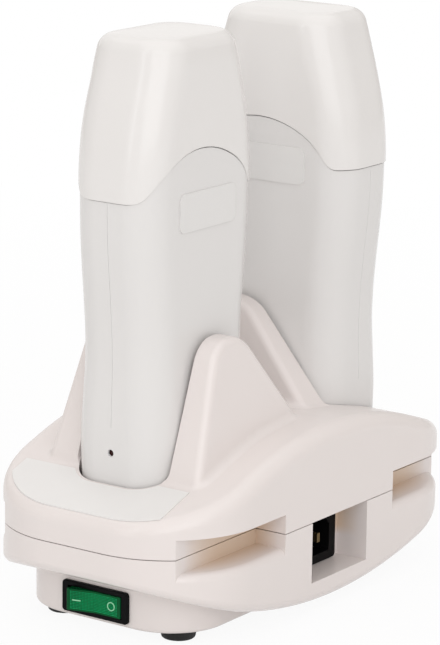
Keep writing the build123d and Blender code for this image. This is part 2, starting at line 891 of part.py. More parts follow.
def rocker_pin():
    half = 0.5 * switch_body_height - 0.3
    return post(0, rocker_pivot(), bezel_place_height - half, bezel_place_height + half,
                rocker_pin_radius)


def switch_lamp():
    back = -end_face - bezel_thickness + switch_body_depth - switch_floor
    return rod_x(-0.5 * lamp_length, 0.5 * lamp_length, back - lamp_radius, bezel_place_height,
                 lamp_radius)


def switch_terminal(place):
    back = -end_face - bezel_thickness + switch_body_depth
    return block((place - 0.5 * terminal_thickness, place + 0.5 * terminal_thickness),
                 (back, back + terminal_length),
                 (bezel_place_height - 0.5 * terminal_width, bezel_place_height + 0.5 * terminal_width))


def inlet_housing():
    flange = block((core_face, core_face + inlet_flange_thickness),
                   (-0.5 * inlet_flange_width, 0.5 * inlet_flange_width),
                   (inlet_middle() - 0.5 * inlet_flange_height, inlet_middle() + 0.5 * inlet_flange_height))
    flange = fillet(flange.edges().filter_by(Axis.X), 1.5)
    deep = core_face - inlet_body_depth
    half_width, half_height = 0.5 * inlet_body_width, 0.5 * inlet_body_height
    body = flange + block((deep, core_face), (-half_width, half_width),
                          (inlet_middle() - half_height, inlet_middle() + half_height))
    mouth = block((core_face + inlet_flange_thickness - inlet_mouth_depth, tall),
                  (-0.5 * inlet_mouth_width, 0.5 * inlet_mouth_width),
                  (inlet_middle() - 0.5 * inlet_mouth_height, inlet_middle() + 0.5 * inlet_mouth_height))
    mouth = chamfer(mouth.edges().filter_by(Axis.X).group_by(Axis.Z)[-1], inlet_mouth_chamfer)
    body -= mouth
    for pin in inlet_pins():
        body -= pin
    return body


def inlet_pins():
    floor = core_face + inlet_flange_thickness - inlet_mouth_depth
    pins = []
    for way in (-1, 0, 1):
        y = way * inlet_pin_pitch
        z = inlet_middle() + (inlet_pin_stagger if way == 0 else -inlet_pin_stagger)
        pins.append(block((floor - inlet_pin_tail, floor + inlet_pin_length),
                          (y - 0.5 * inlet_pin_thickness, y + 0.5 * inlet_pin_thickness),
                          (z - 0.5 * inlet_pin_height, z + 0.5 * inlet_pin_height)))
    return pins


def terminal_block():
    low = foot_height + shell_wall
    body = block((-0.5 * block_width, 0.5 * block_width), (-0.5 * block_length, 0.5 * block_length),
                 (low, low + block_height))
    for way in range(block_ways):
        y = (way - 0.5 * (block_ways - 1)) * block_length / block_ways
        body -= post(-4, y, low + block_height - 3, low + block_height + 1, 2.4)
        body -= post(4, y, low + block_height - 3, low + block_height + 1, 2.4)
    return body


def block_screws():
    low = foot_height + shell_wall + block_height - 3
    screws = []
    for way in range(block_ways):
        y = (way - 0.5 * (block_ways - 1)) * block_length / block_ways
        for x in (-4, 4):
            screws.append(post(x, y, low, low + block_screw_height, block_screw_radius))
    return screws


def block_way(number):
    return (number - 0.5 * (block_ways - 1)) * block_length / block_ways


def mains_wires():
    start_x = core_face + inlet_flange_thickness - inlet_mouth_depth - inlet_pin_tail
    height = foot_height + shell_wall + 0.5 * block_height
    wires = []
    for way in (-1, 0, 1):
        y = way * inlet_pin_pitch
        z = inlet_middle() + (inlet_pin_stagger if way == 0 else -inlet_pin_stagger)
        goal = block_way(way + 1)
        middle = 0.5 * (start_x + 0.5 * block_width)
        points = [(start_x, y, z), (middle, y, z), (middle, goal, height), (0.5 * block_width, goal, height)]
        wires.append(tube(points, [1.6, 1.6], wire_radius))
    return wires


def switch_wires():
    back = -end_face - bezel_thickness + switch_body_depth + terminal_length
    height = foot_height + shell_wall + 0.5 * block_height
    wires = []
    for side in (-1, 1):
        place = side * 0.5 * terminal_pitch
        goal = side * 4.0
        bend = -0.5 * block_length - 12
        points = [(place, back, bezel_place_height), (place, bend, bezel_place_height),
                  (goal, bend, height), (goal, -0.5 * block_length, height)]
        wires.append(tube(points, [1.0, 1.0] if abs(height - bezel_place_height) < 3 else [3, 3],
                          wire_radius))
    return wires


def dock_wires(number):
    low = dock_floor - dock_plate_thickness - contact_tail
    height = foot_height + shell_wall + 0.5 * block_height
    wires = []
    for side in (-1, 1):
        level = low - 7 - side
        if number == 1:
            goal_y = block_way(1 + side)
            turn_x = -0.5 * block_width - 16 - 3 * side
            start = (0, side * 0.5 * contact_pitch - 0.5 * station_spacing)
            turn = (turn_x, goal_y)
            goal = (-0.5 * block_width, goal_y, height)
        else:
            start = (side * 0.5 * contact_pitch, 0.5 * station_spacing)
            turn = (side * 4.0, 0.5 * block_length + 12)
            goal = (side * 4.0, 0.5 * block_length, height)
        points = [(*start, low), (*start, level), (*turn, level), (*turn, height), goal]
        wires.append(tube(points, [2.5, 2.5, 2.5], wire_radius))
    return wires


os.makedirs("parts", exist_ok=True)
save("lower_shell", lower_shell())
save("upper_shell", upper_shell())
save("deck_plate", deck_plate())
save("rubber_feet", *[rubber_foot(x, y) for x, y in screw_places])
save("case_screws", *[case_screw(x, y) for x, y in screw_places])
save("switch_housing", switch_housing())
save("switch_rocker", switch_rocker())
save("rocker_pin", rocker_pin())
save("switch_lamp", switch_lamp())
save("switch_terminals", *[switch_terminal(side * 0.5 * terminal_pitch) for side in (-1, 1)])
save("inlet_housing", inlet_housing())
save("inlet_pins", *inlet_pins())
save("terminal_block", terminal_block())
save("block_screws", *block_screws())
save("mains_wires", *mains_wires())
save("switch_wires", *switch_wires())

whole_handset = handset_solid()
for number in (1, 2):
    save(f"dock_plate_{number}", station(dock_plate(), number))
    save(f"dock_contacts_{number}", *[station(dock_contact(side), number) for side in (-1, 1)])
    save(f"dock_screws_{number}", *[station(dock_screw(side), number) for side in (-1, 1)])
    save(f"dock_wires_{number}", *dock_wires(number))
    save(f"handset_front_{number}", station(handset_half(whole_handset, 1), number))
    save(f"handset_rear_{number}", station(handset_half(whole_handset, -1), number))
    save(f"handset_plug_{number}", station(handset_plug(), number))
    save(f"handset_sleeves_{number}", *[station(handset_sleeve(side), number) for side in (-1, 1)])
    save(f"half_screws_{number}", *[station(half_screw(side), number) for side in (-1, 1)])
    save(f"heater_tray_{number}", station(heater_tray(), number))
    save(f"heater_element_{number}", station(heater_element(), number))
    save(f"thermostat_{number}", station(thermostat(), number))
    save(f"pilot_lens_{number}", station(pilot_lens(), number))
    save(f"handset_wires_{number}", *[station(handset_wire(side), number) for side in (-1, 1)])
    save(f"label_plate_{number}", station(label_plate(number), number))
    save(f"cap_{number}", station(cap(), number))
    save(f"cartridge_body_{number}", station(cartridge_body(), number))
    save(f"cartridge_head_{number}", station(cartridge_head(), number))
    save(f"wax_fill_{number}", station(wax_fill(), number))
    save(f"roller_{number}", station(roller(), number))
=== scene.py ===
import bpy
import bmesh
import math
from mathutils import Matrix, Vector


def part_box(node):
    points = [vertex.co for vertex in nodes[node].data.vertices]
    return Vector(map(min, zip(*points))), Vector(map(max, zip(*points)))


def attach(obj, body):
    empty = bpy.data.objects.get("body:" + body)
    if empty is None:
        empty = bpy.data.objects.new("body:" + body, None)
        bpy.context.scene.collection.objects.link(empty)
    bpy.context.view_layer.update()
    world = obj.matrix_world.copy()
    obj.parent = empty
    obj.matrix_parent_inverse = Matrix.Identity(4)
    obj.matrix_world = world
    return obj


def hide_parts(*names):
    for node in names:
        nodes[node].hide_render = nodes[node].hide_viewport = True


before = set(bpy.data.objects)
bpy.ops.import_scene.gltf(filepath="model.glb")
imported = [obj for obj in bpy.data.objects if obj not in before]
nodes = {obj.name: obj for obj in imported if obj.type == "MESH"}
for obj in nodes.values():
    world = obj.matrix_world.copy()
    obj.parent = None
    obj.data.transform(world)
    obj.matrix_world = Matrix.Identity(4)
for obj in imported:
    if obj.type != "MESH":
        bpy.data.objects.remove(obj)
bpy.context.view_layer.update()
scene = bpy.context.scene
mm = 0.001
print("frame: the packed warmer is in")


# camera, set to the angle the warmer was photographed from; focal length and shifts in picture points
lookout = {
    "turn": 34.9, "tilt": 13.4, "roll": 0.85, "distance": 1.38464, "aim": (-0.0029, -0.00318, 0.11525),
    "sensor": 24, "pictureHeight": 645, "focal": 3229, "shift": (0.7, -0.75), "near": 0.05, "far": 50,
}


def placeCamera():
    turn, tilt, roll = (math.radians(lookout[name]) for name in ("turn", "tilt", "roll"))
    back = Vector((math.sin(turn) * math.cos(tilt), -math.cos(turn) * math.cos(tilt), math.sin(tilt)))
    level = Vector((math.cos(turn), math.sin(turn), 0))
    upright = back.cross(level)
    right = level * math.cos(roll) + upright * math.sin(roll)
    up = upright * math.cos(roll) - level * math.sin(roll)
    data = bpy.data.cameras.new("warmerCamera")
    camera = bpy.data.objects.new("warmerCamera", data)
    scene.collection.objects.link(camera)
    place = Vector(lookout["aim"]) + back * lookout["distance"]
    camera.matrix_world = Matrix((
        (right.x, up.x, back.x, place.x),
        (right.y, up.y, back.y, place.y),
        (right.z, up.z, back.z, place.z),
        (0, 0, 0, 1),
    ))
    data.sensor_fit = "VERTICAL"
    data.sensor_height = lookout["sensor"]
    data.lens = lookout["focal"] / lookout["pictureHeight"] * lookout["sensor"]
    data.shift_x, data.shift_y = (points / lookout["pictureHeight"] for points in lookout["shift"])
    data.clip_start, data.clip_end = lookout["near"], lookout["far"]
    scene.camera = camera


placeCamera()
print("camera: placed")


# small helpers for node trees
def feed(tree, socket, value):
    if isinstance(value, bpy.types.NodeSocket):
        tree.links.new(value, socket)
    else:
        socket.default_value = value


def addNode(tree, kind, inputs=None, **settings):
    made = tree.nodes.new(kind)
    for name, value in settings.items():
        setattr(made, name, value)
    for name, value in (inputs or {}).items():
        feed(tree, made.inputs[name], value)
    return made


def calc(tree, operation, *values):
    return addNode(tree, "ShaderNodeMath", dict(enumerate(values)), operation=operation).outputs[0]


def vectorCalc(tree, operation, *values):
    return addNode(tree, "ShaderNodeVectorMath", dict(enumerate(values)), operation=operation).outputs


# low to high while the value goes from start to end
def spreadOver(tree, value, low, high, start=0.3, end=0.7):
    return addNode(tree, "ShaderNodeMapRange", {
        "Value": value, "From Min": start, "From Max": end, "To Min": low, "To Max": high}).outputs[0]


def emptyTree(owner, outputKind):
    owner.use_nodes = True
    tree = owner.node_tree
    tree.nodes.clear()
    return tree, tree.nodes.new(outputKind).inputs["Surface"]


def mixShaders(tree, share, first, second, surface):
    both = addNode(tree, "ShaderNodeMixShader", {0: share, 1: first.outputs[0], 2: second.outputs[0]})
    tree.links.new(both.outputs[0], surface)


# room: a floor that looks white to the camera and pale to the lamps, and soft light
room = {
    "floorSize": 6.0, "floorPaint": (0.86, 0.86, 0.86, 1), "white": (1, 1, 1, 1),
    "glowUnder": 0.93, "glowFrom": 0.12, "glowTo": 0.9,
    "ambient": 0.62, "ambientColour": (1, 0.965, 0.925, 1),
}
lamps = {
    "keyLamp": {"power": 2.1, "size": (0.2, 1.6), "place": (-0.3, -1.67, 0.9), "aim": (0, 0, 0.1),
                "colour": (0.97, 0.985, 1)},
    "sideLamp": {"power": 10.5, "size": (1.7, 1.5), "place": (1.14, -1.26, 0.9), "aim": (0, 0, 0.12),
                 "colour": (0.98, 0.985, 1)},
    "topLamp": {"power": 9.2, "size": (2.2, 2.2), "place": (0.1, -0.1, 1.7), "aim": (0, 0, 0.1),
                "colour": (0.98, 0.99, 1)},
    "backLamp": {"power": 4.0, "size": (1.8, 1.8), "place": (-1.2, 0.9, 1.1), "aim": (0, 0, 0.12),
                 "colour": (0.97, 0.98, 1)},
}


def paleFloor():
    bpy.ops.mesh.primitive_plane_add(size=room["floorSize"])
    floor = bpy.context.object
    floor.name = "paleFloor"
    material = bpy.data.materials.new("paleFloor")
    tree, surface = emptyTree(material, "ShaderNodeOutputMaterial")
    paint = addNode(tree, "ShaderNodeBsdfDiffuse", {"Color": room["floorPaint"]})
    glow = addNode(tree, "ShaderNodeEmission", {"Color": room["white"], "Strength": 1.0})
    ray = tree.nodes.new("ShaderNodeLightPath").outputs
    coords = tree.nodes.new("ShaderNodeTexCoord").outputs["Object"]
    far = vectorCalc(tree, "LENGTH", coords)["Value"]
    seen = calc(tree, "MAXIMUM", ray["Is Camera Ray"], ray["Is Glossy Ray"])
    seen = calc(tree, "MAXIMUM", seen, ray["Is Transmission Ray"])
    share = spreadOver(tree, far, room["glowUnder"], 1.0, room["glowFrom"], room["glowTo"])
    mixShaders(tree, calc(tree, "MULTIPLY", seen, share), paint, glow, surface)
    floor.data.materials.append(material)


def softLamp(name, power, size, place, aim, colour):
    data = bpy.data.lights.new(name, "AREA")
    data.shape = "RECTANGLE"
    data.size, data.size_y = size
    data.energy = power
    data.color = colour
    lamp = bpy.data.objects.new(name, data)
    scene.collection.objects.link(lamp)
    direction = Vector(aim) - Vector(place)
    lamp.rotation_euler = direction.to_track_quat("-Z", "Y").to_euler()
    lamp.location = place


def roomLight():
    world = bpy.data.worlds.new("room")
    scene.world = world
    tree, surface = emptyTree(world, "ShaderNodeOutputWorld")
    white = addNode(tree, "ShaderNodeBackground", {"Color": room["white"], "Strength": 1.0})
    soft = addNode(tree, "ShaderNodeBackground", {
        "Color": room["ambientColour"], "Strength": room["ambient"]})
    ray = tree.nodes.new("ShaderNodeLightPath").outputs
    seen = calc(tree, "MAXIMUM", ray["Is Camera Ray"], ray["Is Transmission Ray"])
    mixShaders(tree, seen, soft, white, surface)
    scene.view_settings.view_transform = "Standard"
    for name, lamp in lamps.items():
        softLamp(name, **lamp)


paleFloor()
roomLight()
print("room: floor and lamps are set")


# materials: each has its own colour, roughness and surface from noise in object coordinates
def surfaceTree(name):
    material = bpy.data.materials.new(name)
    material.use_nodes = True
    tree = material.node_tree
    shader = tree.nodes["Principled BSDF"]
    coords = tree.nodes.new("ShaderNodeTexCoord")
    return material, tree, shader, coords.outputs["Object"]


def noiseAt(tree, coords, scale, detail, stretch=None):
    if stretch:
        coords = addNode(tree, "ShaderNodeMapping", {"Vector": coords, "Scale": stretch}).outputs[0]
    return addNode(tree, "ShaderNodeTexNoise", {
        "Vector": coords, "Scale": scale, "Detail": detail}).outputs[0]


def blend(tree, share, first, second):
    mix = addNode(tree, "ShaderNodeMix", {"Factor": share}, data_type="RGBA")
    for name, value in (("A", first), ("B", second)):
        feed(tree, mix.inputs[name], value if isinstance(value, bpy.types.NodeSocket) else (*value, 1))
    return mix.outputs["Result"]


def bumpFrom(tree, shader, height, strength, distance):
    bump = addNode(tree, "ShaderNodeBump", {"Height": height, "Strength": strength, "Distance": distance})
    feed(tree, shader.inputs["Normal"], bump.outputs[0])


# painted shade: a warm tan is painted into the base's grips and recesses, where shade and warm bounced light
# fall.
# The mask is how far a place lies inside the base's outline, from 0 at its skin to 1 at the back of the
# grips.
# It goes back to 0 at the core, where the wells are, and below and above the grips.
hull = {
    "length": 0.219, "width": 0.118, "corner": 0.044, "near": 0.004, "deep": 0.018,
    "core": (0.024, 0.030), "fadeIn": (0.0235, 0.0275), "fadeOut": (0.049, 0.0505),
}


def hollowShadeMask(tree, coords):
    middle = (hull["width"] / 2 - hull["corner"], hull["length"] / 2 - hull["corner"], 0)
    flat = vectorCalc(tree, "MULTIPLY", coords, (1, 1, 0))[0]
    flat = vectorCalc(tree, "ABSOLUTE", flat)[0]
    flat = vectorCalc(tree, "SUBTRACT", flat, middle)[0]
    flat = vectorCalc(tree, "MAXIMUM", flat, (0, 0, 0))[0]
    reach = vectorCalc(tree, "LENGTH", flat)["Value"]
    depth = spreadOver(tree, reach, 1, 0, hull["corner"] - hull["deep"], hull["corner"] - hull["near"])
    near, far = (hull["corner"] - value for value in hull["core"])
    depth = calc(tree, "MULTIPLY", depth, spreadOver(tree, reach, 0, 1, far, near))
    height = addNode(tree, "ShaderNodeSeparateXYZ", {0: coords}).outputs[2]
    above = spreadOver(tree, height, 0, 1, *hull["fadeIn"])
    below = spreadOver(tree, height, 1, 0, *hull["fadeOut"])
    return calc(tree, "MULTIPLY", depth, calc(tree, "MULTIPLY", above, below))


# fine surface of each kind: scale and detail of each noise, the spread of the roughness (a factor, in
# rubber the roughness itself), strength of the bumps and their depth in metres
plasticSkin = {"mottleDetail": 3, "wear": (40, 1), "rough": (0.94, 1.08), "pores": (1400, 2), "flow": (70, 1),
               "poreShare": 0.25, "bump": 0.0004}
rubberSkin = {"dust": (220, 5), "dusty": (0.45, 0.75), "rough": (0.62, 0.85), "pores": (2600, 3),
              "grain": 0.25, "bump": 0.0002}
metalSkin = {"lines": (900, 3), "rough": (0.7, 1.4), "grain": 0.15, "bump": 0.0001}
clearSkin = {"cloud": (90, 3), "ior": 1.46}


def unevenRoughness(tree, shader, coords, roughness):
    low, high = plasticSkin["rough"]
    wear = noiseAt(tree, coords, *plasticSkin["wear"])
    feed(tree, shader.inputs["Roughness"], spreadOver(tree, wear, roughness * low, roughness * high))


def mouldedPlastic(name, colour, shade, roughness, grain=0.02, mottle=24, paintedHollowShade=None, gloss=0.5):
    material, tree, shader, coords = surfaceTree(name)
    cloud = noiseAt(tree, coords, mottle, plasticSkin["mottleDetail"])
    paint = blend(tree, spreadOver(tree, cloud, 0, 1), colour, shade)
    # painted shade: a warm tan is blended in deep inside the base's outline, in its grips and recesses
    if paintedHollowShade:
        paint = blend(tree, hollowShadeMask(tree, coords), paint, paintedHollowShade)
    feed(tree, shader.inputs["Base Color"], paint)
    unevenRoughness(tree, shader, coords, roughness)
    pores = noiseAt(tree, coords, *plasticSkin["pores"])
    flow = noiseAt(tree, coords, *plasticSkin["flow"])
    both = calc(tree, "ADD", calc(tree, "MULTIPLY", pores, plasticSkin["poreShare"]), flow)
    bumpFrom(tree, shader, both, grain, plasticSkin["bump"])
    shader.inputs["Specular IOR Level"].default_value = gloss
    return material


def rubber(name, colour, shade):
    material, tree, shader, coords = surfaceTree(name)
    dust = noiseAt(tree, coords, *rubberSkin["dust"])
    share = spreadOver(tree, dust, 0, 1, *rubberSkin["dusty"])
    feed(tree, shader.inputs["Base Color"], blend(tree, share, colour, shade))
    feed(tree, shader.inputs["Roughness"], spreadOver(tree, dust, *rubberSkin["rough"]))
    pores = noiseAt(tree, coords, *rubberSkin["pores"])
    bumpFrom(tree, shader, pores, rubberSkin["grain"], rubberSkin["bump"])
    return material


def turnedMetal(name, colour, shade, roughness, stretch):
    material, tree, shader, coords = surfaceTree(name)
    lines = noiseAt(tree, coords, *metalSkin["lines"], stretch)
    feed(tree, shader.inputs["Base Color"], blend(tree, spreadOver(tree, lines, 0, 1), colour, shade))
    low, high = metalSkin["rough"]
    feed(tree, shader.inputs["Roughness"], spreadOver(tree, lines, roughness * low, roughness * high))
    bumpFrom(tree, shader, lines, metalSkin["grain"], metalSkin["bump"])
    shader.inputs["Metallic"].default_value = 1.0
    return material


def clearPlastic(name, colour, shade, roughness, through=0.0, glow=0.0, gloss=0.5):
    material, tree, shader, coords = surfaceTree(name)
    cloud = noiseAt(tree, coords, *clearSkin["cloud"])
    feed(tree, shader.inputs["Base Color"], blend(tree, spreadOver(tree, cloud, 0, 1), colour, shade))
    unevenRoughness(tree, shader, coords, roughness)
    shader.inputs["Transmission Weight"].default_value = through
    shader.inputs["IOR"].default_value = clearSkin["ior"]
    shader.inputs["Specular IOR Level"].default_value = gloss
    shader.inputs["Emission Color"].default_value = (*colour, 1)
    shader.inputs["Emission Strength"].default_value = glow
    return material


plastics = {
    # basePlastic's last colour is painted shade: the warm tan inside its grips and recesses
    "basePlastic": {"colour": (0.806, 0.751, 0.735), "shade": (0.799, 0.743, 0.727), "roughness": 0.25,
                    "paintedHollowShade": (0.75, 0.57, 0.41)},
    "handsetPlastic": {"colour": (0.757, 0.744, 0.737), "shade": (0.751, 0.738, 0.731), "roughness": 0.20},
    "capPlastic": {"colour": (0.80, 0.782, 0.772), "shade": (0.794, 0.776, 0.765), "roughness": 0.18},
    "labelFilm": {"colour": (0.775, 0.765, 0.757), "shade": (0.769, 0.759, 0.751), "roughness": 0.30,
                  "grain": 0.01, "mottle": 60},
    "deckFilm": {"colour": (0.805, 0.792, 0.782), "shade": (0.797, 0.784, 0.774), "roughness": 0.30,
                 "grain": 0.01, "mottle": 60},
    "blackPlastic": {"colour": (0.004, 0.004, 0.0045), "shade": (0.006, 0.006, 0.0065), "roughness": 0.30,
                     "grain": 0.05, "gloss": 0.06},
    "naturalPlastic": {"colour": (0.74, 0.74, 0.70), "shade": (0.70, 0.70, 0.655), "roughness": 0.38},
    "rockerMark": {"colour": (0.35, 0.78, 0.50), "shade": (0.30, 0.70, 0.44), "roughness": 0.35},
}
rubbers = {
    "rubberBlack": {"colour": (0.008, 0.008, 0.008), "shade": (0.018, 0.0175, 0.017)},
    "heaterCeramic": {"colour": (0.62, 0.60, 0.56), "shade": (0.50, 0.48, 0.44)},
    "wireCover": {"colour": (0.35, 0.34, 0.33), "shade": (0.42, 0.41, 0.40)},
}
metals = {
    "trayAluminium": {"colour": (0.72, 0.72, 0.73), "shade": (0.60, 0.60, 0.61), "roughness": 0.30,
                      "stretch": (1, 1, 0.06)},
    "contactBrass": {"colour": (0.80, 0.58, 0.28), "shade": (0.66, 0.46, 0.20), "roughness": 0.28,
                     "stretch": (1, 1, 0.1)},
    # inlet pins: brass darkened to paint the shade inside the inlet's socket; the higher roughness is its own
    "dullBrass": {"colour": (0.36, 0.27, 0.14), "shade": (0.27, 0.20, 0.10), "roughness": 0.42,
                  "stretch": (1, 1, 0.1)},
    "steel": {"colour": (0.58, 0.58, 0.60), "shade": (0.42, 0.42, 0.44), "roughness": 0.34,
              "stretch": (1, 0.1, 1)},
}
clears = {
    "cartridgePlastic": {"colour": (0.86, 0.84, 0.78), "shade": (0.80, 0.77, 0.70), "roughness": 0.22,
                         "through": 0.35},
    "wax": {"colour": (0.78, 0.42, 0.10), "shade": (0.70, 0.33, 0.06), "roughness": 0.30, "through": 0.25},
    "lampGlass": {"colour": (0.85, 0.90, 0.86), "shade": (0.80, 0.86, 0.82), "roughness": 0.05,
                  "through": 0.8},
    # rocker lens: its small glow is painted light, and the grid's studs get a lighter green with more glow as
    # painted glints
    "rockerGreen": {"colour": (0.0, 0.10, 0.028), "shade": (0.0, 0.07, 0.02), "roughness": 0.14,
                    "glow": 0.02, "gloss": 0.12},
    "rockerGlint": {"colour": (0.004, 0.38, 0.13), "shade": (0.002, 0.30, 0.10), "roughness": 0.12,
                    "glow": 0.06, "gloss": 0.15},
    "lensRed": {"colour": (0.028, 0.004, 0.003), "shade": (0.018, 0.003, 0.002), "roughness": 0.15,
                "gloss": 0.2},
}

materials = {}
for make, recipes in (
    (mouldedPlastic, plastics), (rubber, rubbers), (turnedMetal, metals), (clearPlastic, clears),
):
    for name, recipe in recipes.items():
        materials[name] = make(name, **recipe)
print("materials:", len(materials))


# what each node is made of; its own mesh stays, welded and smoothed by modifiers only
finishOf = {
    "upper_shell": "basePlastic", "lower_shell": "basePlastic", "deck_plate": "deckFilm",
    "rubber_feet": "rubberBlack", "case_screws": "steel", "switch_housing": "blackPlastic",
    "switch_rocker": "rockerGreen", "rocker_pin": "steel", "switch_lamp": "lampGlass",
    "switch_terminals": "contactBrass", "inlet_housing": "blackPlastic", "inlet_pins": "dullBrass",
    "terminal_block": "naturalPlastic", "block_screws": "steel", "mains_wires": "wireCover",
    "switch_wires": "wireCover", "dock_plate": "naturalPlastic", "dock_contacts": "contactBrass",
    "dock_screws": "steel", "dock_wires": "wireCover", "handset_front": "handsetPlastic",
    "handset_rear": "handsetPlastic", "handset_plug": "naturalPlastic", "handset_sleeves": "contactBrass",
    "half_screws": "steel", "heater_tray": "trayAluminium", "heater_element": "heaterCeramic",
    "thermostat": "heaterCeramic", "pilot_lens": "lensRed", "handset_wires": "wireCover",
    "label_plate": "labelFilm", "cap": "capPlastic", "cartridge_body": "cartridgePlastic",
    "cartridge_head": "naturalPlastic", "wax_fill": "wax", "roller": "naturalPlastic",
}
smoothing = {"weld": 0.00001, "ringWeld": 0.000005, "nodeAngle": 28, "pieceAngle": 35}


def smoothFaces(mesh):
    mesh.polygons.foreach_set("use_smooth", [True] * len(mesh.polygons))


def finishNode(name):
    obj = nodes[name]
    plain = name[:-2] if name[-2:] in ("_1", "_2") else name
    obj.data.materials.clear()
    obj.data.materials.append(materials[finishOf[plain]])
    obj.data.polygons.foreach_set("material_index", [0] * len(obj.data.polygons))
    smoothFaces(obj.data)
    weld = obj.modifiers.new("weld", "WELD")
    weld.merge_threshold = smoothing["weld"]
    split = obj.modifiers.new("crispEdges", "EDGE_SPLIT")
    split.split_angle = math.radians(smoothing["nodeAngle"])
    weigh = obj.modifiers.new("evenShade", "WEIGHTED_NORMAL")
    weigh.keep_sharp = True


for name in nodes:
    finishNode(name)
print("nodes: finished", len(nodes))


# each station's pieces are made at the origin, then turned and moved over its well
def stationOf(number):
    low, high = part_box(f"cap_{number}")
    middle = (low + high) / 2
    turn = Matrix.Identity(4) if number == 1 else Matrix.Rotation(-math.pi / 2, 4, "Z")
    return Matrix.Translation((middle.x, middle.y, 0)) @ turn


# height in mm of the cap's arched edge above its foot, from straight runs with rounded corners. The peak
# is shifted towards the front edge, where the arch ends at its own foot.
arch = {
    "halfWidth": 36.5, "rise": 24.8, "shoulderWidth": 27.0, "shoulderRise": 12.0,
    "rounds": (5.0, 28.0, 45.0), "roundSteps": 12, "shift": 4.5, "frontFoot": 38.5, "flatEnd": 60.0,
    "reach": 42, "samples": 40,
}


def archLine():
    foot, shoulder = (arch["halfWidth"], 0.0), (arch["shoulderWidth"], arch["shoulderRise"])
    corners = [(arch["flatEnd"], 0.0), foot, shoulder, (0.0, arch["rise"]), (-shoulder[0], shoulder[1])]
    line = [Vector(corners[0])]
    for index, radius in enumerate(arch["rounds"]):
        before, corner, after = (Vector(corners[index + step]) for step in (0, 1, 2))
        into, out = (corner - before).normalized(), (after - corner).normalized()
        turn = into.angle_signed(out)
        reach = radius * math.tan(abs(turn) / 2)
        start = corner - into * reach
        side = Vector((into.y, -into.x)) * math.copysign(1, turn)
        centre = start + side * radius
        for step in range(arch["roundSteps"] + 1):
            swing = Matrix.Rotation(-turn * step / arch["roundSteps"], 2)
            line.append(centre + swing @ (start - centre))
    return [point for point in line if point.x >= -0.01]


archPoints = archLine()


def archRise(y):
    y += arch["shift"]
    if y < 0:
        y *= arch["halfWidth"] / (arch["frontFoot"] - arch["shift"])
    y = abs(y)
    for first, second in zip(archPoints, archPoints[1:]):
        if second.x <= y <= first.x:
            span = first.x - second.x
            share = 0 if span < 1e-9 else (first.x - y) / span
            return first.y + (second.y - first.y) * share
    return 0.0 if y > arch["halfWidth"] else archPoints[-1].y


archTop = archRise(-arch["shift"])
print("arch: top", round(archTop, 2), "at 20 mm", round(archRise(20), 2))


# smooth curve through (height, size) pairs
def sizeAt(pairs, height):
    if height <= pairs[0][0]:
        return pairs[0][1]
    if height >= pairs[-1][0]:
        return pairs[-1][1]
    index = next(i for i in range(len(pairs) - 1) if pairs[i + 1][0] >= height)
    (z0, v0), (z1, v1) = pairs[index], pairs[index + 1]

    def slope(at):
        low, high = pairs[max(at - 1, 0)], pairs[min(at + 1, len(pairs) - 1)]
        return (high[1] - low[1]) / (high[0] - low[0])

    step, share = z1 - z0, (height - z0) / (z1 - z0)
    square, cube = share ** 2, share ** 3
    ends = (2 * cube - 3 * square + 1) * v0 + (3 * square - 2 * cube) * v1
    return ends + ((cube - 2 * square + share) * slope(index) + (cube - square) * slope(index + 1)) * step


def meshFrom(name, points, faces=(), attributes=None):
    mesh = bpy.data.meshes.new(name)
    mesh.from_pydata([tuple(value * mm for value in point) for point in points], [], list(faces))
    for key, values in (attributes or {}).items():
        mesh.attributes.new(key, "FLOAT", "POINT").data.foreach_set("value", values)
    obj = bpy.data.objects.new(name, mesh)
    scene.collection.objects.link(obj)
    return obj


def editMesh(mesh, change):
    shape = bmesh.new()
    shape.from_mesh(mesh)
    change(shape)
    shape.to_mesh(mesh)
    shape.free()


def faceOutward(mesh):
    editMesh(mesh, lambda shape: bmesh.ops.recalc_face_normals(shape, faces=shape.faces))


# the modifiers' result becomes a plain mesh
def settle(obj, outward=True):
    graph = bpy.context.evaluated_depsgraph_get()
    mesh = bpy.data.meshes.new_from_object(obj.evaluated_get(graph), depsgraph=graph)
    obj.modifiers.clear()
    old, obj.data = obj.data, mesh
    bpy.data.meshes.remove(old)
    if outward:
        faceOutward(mesh)
    return obj


def smoothPiece(obj):
    smoothFaces(obj.data)
    obj.data.set_sharp_from_angle(angle=math.radians(smoothing["pieceAngle"]))
    weigh = obj.modifiers.new("evenShade", "WEIGHTED_NORMAL")
    weigh.keep_sharp = True
    return settle(obj, outward=False)


def softEdge(obj, width, segments, angle):
    soft = obj.modifiers.new("softEdge", "BEVEL")
    soft.width = width * mm
    soft.segments = segments
    soft.limit_method = "ANGLE"
    soft.angle_limit = math.radians(angle)


def walled(obj, thickness, edge):
    wall = obj.modifiers.new("wall", "SOLIDIFY")
    wall.thickness = thickness * mm
    wall.offset = -1
    wall.use_even_offset = True
    softEdge(obj, edge, segments=2, angle=50)
    return settle(obj)


def copyOf(obj, name):
    twin = bpy.data.objects.new(name, obj.data.copy())
    scene.collection.objects.link(twin)
    return twin


def cutBlock(name, low, high):
    points = [(x, y, z) for x in (low[0], high[0]) for y in (low[1], high[1]) for z in (low[2], high[2])]
    sides = ((0, 1, 3, 2), (4, 6, 7, 5), (0, 4, 5, 1), (2, 3, 7, 6), (0, 2, 6, 4), (1, 5, 7, 3))
    return meshFrom(name, points, sides)


